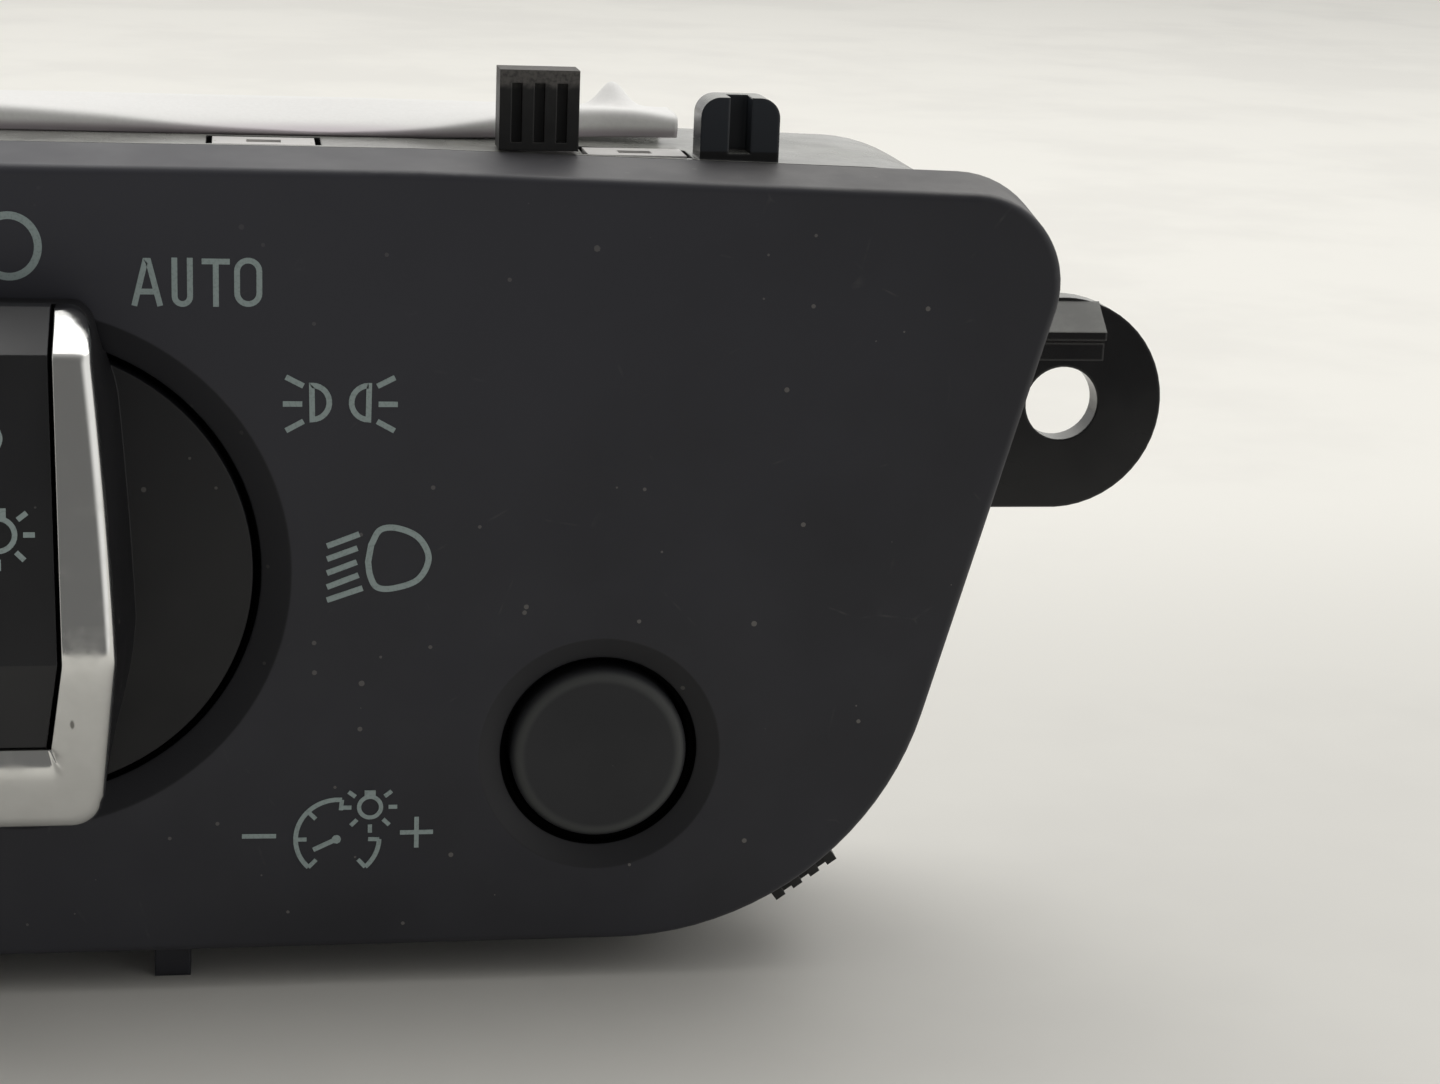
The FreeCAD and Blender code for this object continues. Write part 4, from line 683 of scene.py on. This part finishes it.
# Pin header and contact pins: black nylon block on the board's back, with twelve tinned brass
# pins pressed through it and soldered to the board.
dress("pin_header", plastic(
    "black_nylon", (0.014, 0.014, 0.014, 1), 0.5, grain=0.12, pit=0.005, edge=0.15, edge_wear_and_highlight=2.0,
    specks=0.1, hairlines=0.1,
))
dress("contact_pins", metal("tinned_pins", (0.72, 0.7, 0.64, 1), 0.22, line_scale=2500.0))

# Buffers: soft black blocks moulded in rubber with upright ribs, set on the housing behind the
# face's top and its bottom right corner. The top one's smooth cap is worn grey by the dashboard.
rubber_paint, tree, shader, place = new_material("buffer_rubber")
edges = use(tree, round_edges, Radius=0.00018)
skin = use(tree, moulded_grain, Size=0.00012, Depth=0.000008, Normal=edges.outputs["Normal"])
height = add(tree, "SeparateXYZ", {0: place}).outputs["Z"]
uneven = calc(tree, "MULTIPLY", cloud(tree, place, 900.0), 0.0008)
worn = fade(tree, calc(tree, "ADD", height, uneven), 0.0282, 0.0290)
scuff = calc(tree, "MULTIPLY", worn, fade(tree, cloud(tree, place, 2600.0), 0.3, 0.6, 0.35, 1.0))
base = mixed(tree, fade(tree, cloud(tree, place, 500.0), 0.3, 0.7), grey(0.011), grey(0.017))
base = mixed(tree, edges.outputs["Edge"], base, grey(0.04, 0.03))
base = mixed(tree, scuff, base, grey(0.13, 0.06))
base = mixed(tree, use(tree, dust, Amount=0.35, Spacing=0.0014).outputs["Mask"], base, grey(0.16))
wire(tree, shader, base, fade(tree, scuff, 0.0, 1.0, 0.5, 0.75), skin.outputs["Normal"])
dress("top_buffer", rubber_paint)
dress("corner_buffer", rubber_paint)

# Light knob: dial, grip and shaft moulded in one in smooth black plastic, dusty on the dial. It's
# a turned dial and shaft, and a grip of four rings: its foot, its rim under the trim, the rim of
# the key's pocket and the pocket's floor.
knob_paint = plastic(
    "black_knob_plastic", (0.004, 0.004, 0.0056, 1), 0.5, grain=0.12, pit=0.003, edge=0.12, edge_wear_and_highlight=1.5,
    specks=0.42, speck_colour=grey(0.075, 0.05), hairlines=0.35,
)
dress("light_knob", knob_paint)
chin_z, chin_y = -19.8, -8.4
ridge_z, ridge_y = -4.0, -13.0
brow_z, brow_y = 20.6, -10.5
crown_z, crown_y = 24.9, -1.8
toe_z, top_z = -18.8, 23.9
toe_half, belly_half, top_half = 7.0, 8.5, 6.5
bow_radius = 420.0
grip_low_z = -19.4
leg_low_z = -16.5
key_top_z, key_low_z = 23.33, -11.95
leg_steps = 90
corner_steps = 18
low_steps = 12


def chord(height, low_z, low, high_z, high):
    """The value at a height on the straight line from low at low_z to high at high_z."""
    return low + (height - low_z) * (high - low) / (high_z - low_z)


def bowed_side(height):
    """Half width of the grip at a height: chords from toe to belly to top, the upper one bowed
    outwards as an arc of radius R, which stands out by x(L - x) / 2R at x along its length L."""
    lower = chord(height, toe_z, toe_half, ridge_z, belly_half)
    upper = chord(height, ridge_z, belly_half, top_z, top_half)
    bulge = np.clip((height - ridge_z) * (top_z - height), 0, None) / (2 * bow_radius)
    return np.where(height < ridge_z, lower, upper + bulge)


def key_side(height):
    """Half width of the key's opening: 3.1 at its bottom, 4.25 at the ridge, 3.8 at its top."""
    lower = chord(height, key_low_z, 3.1, ridge_z, 4.25)
    return np.where(height < ridge_z, lower, chord(height, ridge_z, 4.25, 29.9, 3.7))


def grip_front(height):
    """Y of the grip's front at a height: the rearmost of three facets, blended where they meet
    by the logarithm of the sum of their exponentials."""
    facets = (
        chord(height, chin_z, chin_y, ridge_z, ridge_y),
        chord(height, ridge_z, ridge_y, brow_z, brow_y),
        chord(height, brow_z, brow_y, crown_z, crown_y),
    )
    soft = 0.25
    return soft * np.log(sum(np.exp(facet / soft) for facet in facets))


# Rails of the right half from the top down, then mirrored: the grip's outline, rounded at the top
# and the bottom corner, and the outline of the key's pocket, which turns once under the key.
outer_top = arc(4.9, 20.9, 1.9, 88, 2, corner_steps, 2.45)
corner_low = outer_top[-1, 1]
leg_top = corner_low - 0.15
leg = np.linspace(leg_top, leg_low_z, leg_steps)
outer_leg = np.stack((bowed_side(leg), leg), 1)
outer_toe = arc(4.4, -16.75, 2.62, -6, -90, corner_steps, 2.65)
outer_bottom = np.stack((np.linspace(4.2, 0, low_steps), np.full(low_steps, grip_low_z)), 1)
inner_z = np.concatenate((
    np.linspace(key_top_z, corner_low, corner_steps), np.linspace(leg_top, key_low_z, leg_steps)
))
low_x = np.concatenate((np.linspace(3.1, 2.7, corner_steps), np.linspace(2.68, 0, low_steps)))
inner = np.vstack((
    np.stack((key_side(inner_z), inner_z), 1), np.stack((low_x, np.full(len(low_x), key_low_z)), 1)
))
outer = np.vstack((outer_top, outer_leg, outer_toe, outer_bottom))
mirror = np.array((-1.0, 1.0))
outer = np.vstack((outer, outer[-2::-1] * mirror))
inner = np.vstack((inner, inner[-2::-1] * mirror))

# Radius and depth of the dial and the shaft, turned round the knob's axis.
turned = np.array((
    (3.0, 0.6), (19.2, 0.6), (19.3, 0.64), (19.35, 0.75), (19.35, 2.8), (9.0, 2.8), (9.0, 12.4), (7.0, 12.4),
    (7.0, 16.0), (6.0, 16.0), (6.0, 16.8), (7.0, 16.8), (7.0, 18.0), (3.0, 18.0),
))
turns = 144
angle = np.linspace(0, 2 * math.pi, turns, endpoint=False)[:, None]
depth = np.broadcast_to(turned[:, 1], (turns, len(turned)))
wheel = np.stack((turned[:, 0] * np.cos(angle), depth, turned[:, 0] * np.sin(angle)), 2).reshape(-1, 3)
here = np.arange(turns)[:, None]
side = np.arange(len(turned))[None, :]
quad = (here, side), (here, side + 1), (here + 1, side + 1), (here + 1, side)
wheel_faces = np.stack([(a % turns) * len(turned) + b % len(turned) for a, b in quad], 2)


def eased(value, low, high):
    """A smooth step 3x^2 - 2x^3 from zero at low to one at high."""
    part = np.clip((value - low) / (high - low), 0, 1)
    return part * part * (3 - 2 * part)


foot_wide = 1.1
trim_behind = 2.12
dial_y = 0.7
overhang_y = -0.6
overhang_z = 18.8
floor_y = -1.97
rim_z = outer[:, 1]
foot = foot_wide * eased(rim_z, -17.5, -6.0) * eased(rim_z, 22.0, 15.0)
rim_y = grip_front(rim_z) + trim_behind
foot_y = np.where(rim_z > overhang_z, overhang_y, dial_y)
rings = np.stack((
    np.stack((outer[:, 0] + np.sign(outer[:, 0]) * foot, foot_y, rim_z), 1),
    np.stack((outer[:, 0] * 0.995, rim_y, rim_z * 0.998), 1),
    np.stack((inner[:, 0], rim_y, inner[:, 1]), 1),
    np.stack((inner[:, 0], np.full(len(inner), floor_y), inner[:, 1]), 1),
))
count = rings.shape[1]
grip_faces = []
for ring in range(3):
    for spot in range(count):
        low = ring * count
        after = (spot + 1) % count
        grip_faces.append([low + spot, low + after, low + count + after, low + count + spot])
for start in (0, 3 * count):
    for spot in range(count // 2):
        cap = [start + spot, start + spot + 1, start + count - 2 - spot, start + count - 1 - spot]
        grip_faces.append(cap if cap[1] != cap[2] else cap[:2] + cap[3:])
grip_faces = [[corner + len(wheel) for corner in face] for face in grip_faces]
knob_body = new_piece(
    "knob_body", np.vstack((wheel, rings.reshape(-1, 3))),
    wheel_faces.reshape(-1, 4).tolist() + grip_faces, knob_paint,
)


def close(piece):
    """Joins points that coincide, turns every face outwards and shades it smooth."""
    shape = bmesh.new()
    shape.from_mesh(piece.data)
    bmesh.ops.remove_doubles(shape, verts=shape.verts, dist=0.0000001)
    bmesh.ops.recalc_face_normals(shape, faces=shape.faces)
    shape.to_mesh(piece.data)
    shape.free()
    piece.data.polygons.foreach_set("use_smooth", [True] * len(piece.data.polygons))


close(knob_body)
knob_body.data.set_sharp_from_angle(angle=math.radians(30))
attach(knob_body, "knob")
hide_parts("light_knob")

# Detent parts: a natural acetal wheel pressed on the shaft and held by a spring steel clip, and a
# grey acetal plunger that a steel spring pushes at the wheel's notches.
dress("detent_wheel", plastic(
    "natural_acetal", (0.62, 0.6, 0.54, 1), 0.38, grain=0.4, pit=0.003, edge_wear_and_highlight=1.15, specks=0.05,
    speck_colour=grey(0.3, 0.1), hairlines=0.1, shade=0.05,
))
dress("detent_plunger", plastic(
    "grey_acetal", (0.2, 0.2, 0.2, 1), 0.35, grain=0.3, pit=0.003, edge=0.1, edge_wear_and_highlight=1.3, specks=0.05,
    speck_colour=grey(0.4), hairlines=0.1,
))
dress("knob_clip", metal("spring_steel", (0.5, 0.5, 0.51, 1), 0.24))
dress("detent_spring", metal("bright_spring_wire", (0.6, 0.59, 0.57, 1), 0.2, line_scale=3000.0))

# Key mat: soft pale silicone with two switch domes, laid on the floor of the grip's pocket under
# the key. It lets the key's light through.
mat_paint, tree, shader, place = new_material("pale_silicone")
edges = use(tree, round_edges, Radius=0.0003)
skin = use(tree, moulded_grain, Size=0.00018, Depth=0.000006, Normal=edges.outputs["Normal"])
base = mixed(tree, fade(tree, cloud(tree, place, 260.0), 0.3, 0.7), grey(0.42, 0.03), grey(0.5, 0.03))
base = mixed(tree, edges.outputs["Edge"], base, grey(0.6))
rough = fade(tree, skin.outputs["Gloss"], 0.3, 0.7, 0.55, 0.7)
wire(tree, shader, base, rough, skin.outputs["Normal"])
shader.inputs["Subsurface Weight"].default_value = 0.15
shader.inputs["Subsurface Scale"].default_value = 0.001
dress("key_mat", mat_paint)

# Grip key: rocker key moulded in smooth black plastic, clipped in the grip on two pins. Its long
# facet is printed with a small lamp and a fog lamp.
dress("grip_key", plastic(
    "black_key_plastic", (0.0165, 0.0168, 0.0195, 1), 0.4, grain=0.14, pit=0.002, edge=0.18, edge_wear_and_highlight=1.8,
    specks=0.2, speck_colour=grey(0.09), hairlines=0.25,
))
key_sunk = 0.5


def key_front(height):
    """Y of the key's long facet at a height: the line from the ridge to the brow, sunk a little."""
    return chord(height, ridge_z, ridge_y, brow_z, brow_y) + key_sunk


key_strokes = bulb(-0.5, 6.5, 1.3, 0.42, 1.95, 2.85)
fog_lamp = through([(-1.95, 12.6), (-0.95, 12.7), (-0.2, 14.1), (-0.95, 15.5), (-1.95, 15.6)])
key_strokes.append(stroke(fog_lamp, 0.42, True))
for level in (12.9, 14.1, 15.3):
    key_strokes.append(stroke([(-3.4, level - 0.35), (-2.4, level + 0.1)], 0.4))
key_symbols = print_strokes("key_symbols", key_strokes, key_front)
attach(key_symbols, "key")

# Grip trim: U-shaped frame moulded in plastic, coated with satin chrome and set on the grip's rim.
# It's open at the top, has a broad rounded outer edge, a fine inner one and a bevel under the key.
trim_thick = 2.2
outer_round = 1.3
outer_drop = 0.8
inner_round = 0.18
bevel_low = -14.05
bevel_long = 2.1
bevel_high = -11.9
bevel_deep = 1.0
bevel_half = 3.4
bevel_side = 0.3
narrow = 2.4

# Across the frame: from the outer edge to the inner one, with close steps on both rounded edges.
# Where the frame is narrow, both roundings shrink with it.
width = np.linalg.norm(outer - inner, axis=1)[:, None]
limit = np.minimum(1, width / narrow)
edge_out = outer_round * (1 - np.cos(np.linspace(0, math.pi / 2, 9)))[None, :] * limit
edge_in = inner_round * np.sin(np.linspace(math.pi / 2, 0, 5))[None, :] * limit
share = np.linspace(0, 1, 8)[None, 1:-1]
middle = edge_out[:, -1:] + (width - edge_in[:, :1] - edge_out[:, -1:]) * share
inwards = np.hstack((edge_out, middle, width - edge_in))
across = outer[:, None, :] + (inner - outer)[:, None, :] * (inwards / width)[:, :, None]
level = across[:, :, 1]


def edge_fall(distance, radius):
    """How far a rounded edge lies behind the front: r - sqrt(r^2 - (r - d)^2) within the radius."""
    inside = np.clip(radius - distance, 0, None)
    return radius - np.sqrt(radius ** 2 - inside ** 2)


fall = edge_fall(inwards, outer_round * limit) * outer_drop / outer_round
fall = fall + edge_fall(width - inwards, inner_round * limit)
bevel = np.clip((level - bevel_low) / bevel_long, 0, 1) * (level < bevel_high)
bevel *= np.clip((bevel_half - np.abs(across[:, :, 0])) / bevel_side, 0, 1)
front_y = grip_front(level) + fall + bevel * bevel_deep
front = np.stack((across[:, :, 0], front_y, level), 2)
back_y = np.maximum(grip_front(level) + trim_thick, front_y + 0.2)
back = np.stack((across[:, :, 0], back_y, level), 2)[:, ::-1]
loop = np.concatenate((front, back), 1)


def tube(name, rings, paint):
    """A closed, smooth piece from rings of points, one after the other, with both ends closed."""
    count, size = rings.shape[:2]
    here = np.arange(count - 1)[:, None] * size
    side = np.arange(size)[None, :]
    after = (side + 1) % size
    quads = np.stack((here + side, here + size + side, here + size + after, here + after), 2)
    ends = [list(range(size)), list(range((count - 1) * size, count * size))]
    piece = new_piece(name, rings.reshape(-1, 3), quads.reshape(-1, 4).tolist() + ends, paint)
    close(piece)
    return piece


chrome, tree, shader, place = new_material("satin_chrome")
smear = fade(tree, cloud(tree, place, 420.0, 4.0, 0.6), 0.35, 0.75)
fine = cloud(tree, place, 9000.0, 2.0)
mark_at = in_frame((4.9, -11.2, -9.3))
from_mark = add(tree, "VectorMath", {0: place, 1: tuple(mark_at)}, operation="SUBTRACT").outputs[0]
shape = add(tree, "VectorMath", {0: from_mark, 1: (1.9, 0.4, 0.8)}, operation="MULTIPLY").outputs[0]
far_off = add(tree, "VectorMath", {0: shape}, operation="LENGTH").outputs["Value"]
ragged = calc(tree, "ADD", far_off, calc(tree, "MULTIPLY", fine, 0.0002))
mark = fade(tree, ragged, 0.0003, 0.00055, 0.75, 0.0)
base = mixed(tree, calc(tree, "MULTIPLY", smear, 0.35), (0.79, 0.79, 0.775, 1), (0.68, 0.68, 0.66, 1))
base = mixed(tree, mark, base, grey(0.08, 0.1))
bump = add(tree, "Bump", {"Height": fine, "Distance": 0.0000006, "Strength": 1.0})
wire(tree, shader, base, fade(tree, smear, 0.0, 1.0, 0.13, 0.24), bump.outputs["Normal"])
shader.inputs["Metallic"].default_value = 1.0
trim_frame = tube("trim_frame", loop, chrome)
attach(trim_frame, "knob")
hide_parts("grip_trim")
dress("grip_trim", chrome)

# Dimmer: moulded cap with a dark grey soft coat, paler round its edge by a painted highlight,
# pressed on an acetal stem. Behind it sit the latch sleeve, the return spring and the encoder in
# its steel case.
# The cap's rounded edge is painted paler all round as a painted highlight.
cap_paint = plastic(
    "grey_cap_plastic", (0.0215, 0.0225, 0.0262, 1), 0.58, grain=0.1, pit=0.003, edge=0.9, edge_wear_and_highlight=2.1,
    specks=0.12, speck_colour=grey(0.1), hairlines=0.25, shade=0.1,
)
tree = cap_paint.node_tree
# Painted highlight: a paler ring just inside the cap's edge.
middle = in_frame((dimmer_at[0], 0, dimmer_at[1]))
from_middle = use(tree, disc, Across=middle[0], Up=middle[2]).outputs["Distance"]
edge_highlight = calc(
    tree, "MULTIPLY", fade(tree, from_middle, 0.0064, 0.0070), fade(tree, from_middle, 0.00765, 0.0072)
)
lay(cap_paint, edge_highlight, (0.055, 0.058, 0.058, 1))
dress("dimmer_cap", cap_paint)
dress("dimmer_stem", plastic(
    "ivory_acetal", (0.55, 0.53, 0.46, 1), 0.4, grain=0.35, pit=0.003, edge_wear_and_highlight=1.15, specks=0.05,
    speck_colour=grey(0.3), hairlines=0.1, shade=0.05,
))
dress("dimmer_sleeve", plastic(
    "black_acetal", (0.016, 0.016, 0.016, 1), 0.35, grain=0.25, pit=0.002, edge=0.12, edge_wear_and_highlight=2.0,
    specks=0.05, hairlines=0.1,
))
dress("dimmer_spring", metal("plain_spring_wire", (0.58, 0.57, 0.56, 1), 0.22, line_scale=3000.0))
dress("dimmer_encoder", metal("encoder_case", (0.55, 0.56, 0.57, 1), 0.3, line_scale=900.0))

# Paper slip: a thin strip of white label paper, bare on both sides, that lies loosely arched on
# the housing's top. Its front and back edges rest on the plastic, and a tip stands up near its
# right end. Its low front edge is tinted mauve grey as painted shade.
paper_left, paper_right = -30.0, 57.0
paper_steps = 260
soft_steps = 25
along = np.linspace(paper_left, paper_right, paper_steps)[:, None]
ridge_x = (-30, -12, -2, 7, 16, 25.5, 32.4, 39.3, 44, 48, 54, 57)
ridge_up = (35.3, 36.4, 36.9, 36.4, 35.65, 35.3, 35.6, 36.4, 37.0, 37.3, 37.2, 36.5)
paper_ridge = np.interp(along, ridge_x, ridge_up)
kernel = np.hanning(soft_steps) / np.hanning(soft_steps).sum()
padded = np.pad(paper_ridge[:, 0], soft_steps // 2, "edge")
paper_ridge = np.convolve(padded, kernel, "valid")[:, None]
paper_back = 36.95 - 0.25 * np.clip((along - 30) / 27, 0, 1)
tip = 2.2 * np.exp(-((along - 52.0) / 1.5) ** 2)
foot_y = np.interp(along, (-30, 35, 50, 57), (15.4, 15.4, 18.2, 18.8))
down = 34.96
profile = [
    (foot_y, np.full_like(along, down)),
    (foot_y - 0.35, down + (paper_ridge - down) * 0.5),
    (foot_y + 0.1, paper_ridge),
    (foot_y + 2.4, paper_ridge + (paper_back - paper_ridge) * 0.3 + 0.15),
    (np.full_like(along, 22.5), paper_ridge + (paper_back - paper_ridge) * 0.75 + 0.1 + tip * 0.3),
    (np.full_like(along, 26.0), paper_back + tip),
    (np.full_like(along, 28.6), paper_back - 0.8 + tip * 0.4),
    (np.full_like(along, 29.8), np.full_like(along, down)),
]
curve = through(np.stack([np.concatenate(spot, 1) for spot in profile], 1), 7)
curve[:, :, 1] = np.maximum(curve[:, :, 1], down)
sheet_points = np.concatenate((np.broadcast_to(along[:, None], curve.shape[:2] + (1,)), curve), 2)
rows, columns = sheet_points.shape[:2]
row = np.arange(rows - 1)[:, None] * columns
column = np.arange(columns - 1)[None, :]
here = row + column
quads = np.stack((here, here + columns, here + columns + 1, here + 1), 2)
paper_paint, tree, shader, place = new_material("label_paper")
fibre = cloud(tree, place, 2600.0, 4.0, 0.7)
soft_crease = cloud(tree, place, 160.0, 2.0)
base = mixed(tree, fade(tree, fibre, 0.3, 0.7), (0.9, 0.895, 0.88, 1), (0.95, 0.945, 0.93, 1))
# Painted shade: mauve grey on the paper's low front edge.
low = fade(tree, add(tree, "SeparateXYZ", {0: place}).outputs["Z"], 0.0239, 0.0230)
shaded_front = fade(tree, add(tree, "SeparateXYZ", {0: place}).outputs["Y"], 0.0075, 0.0062)
base = mixed(tree, calc(tree, "MULTIPLY", low, shaded_front), base, (0.6, 0.54, 0.58, 1))
tall = add(tree, "Bump", {"Height": soft_crease, "Distance": 0.0002, "Strength": 0.4})
bump = add(tree, "Bump", {
    "Height": fibre, "Distance": 0.000006, "Normal": tall.outputs["Normal"], "Strength": 1.0,
})
wire(tree, shader, base, fade(tree, fibre, 0.3, 0.7, 0.6, 0.75), bump.outputs["Normal"])
paper_slip = new_piece("paper_slip", sheet_points.reshape(-1, 3), quads.reshape(-1, 4).tolist(), paper_paint)
paper_slip.data.polygons.foreach_set("use_smooth", [True] * len(paper_slip.data.polygons))
wall = paper_slip.modifiers.new("paper_thickness", "SOLIDIFY")
wall.thickness = 0.0001
wall.offset = 1.0
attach(paper_slip, "root")
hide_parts("paper_strip")
dress("paper_strip", paper_paint)
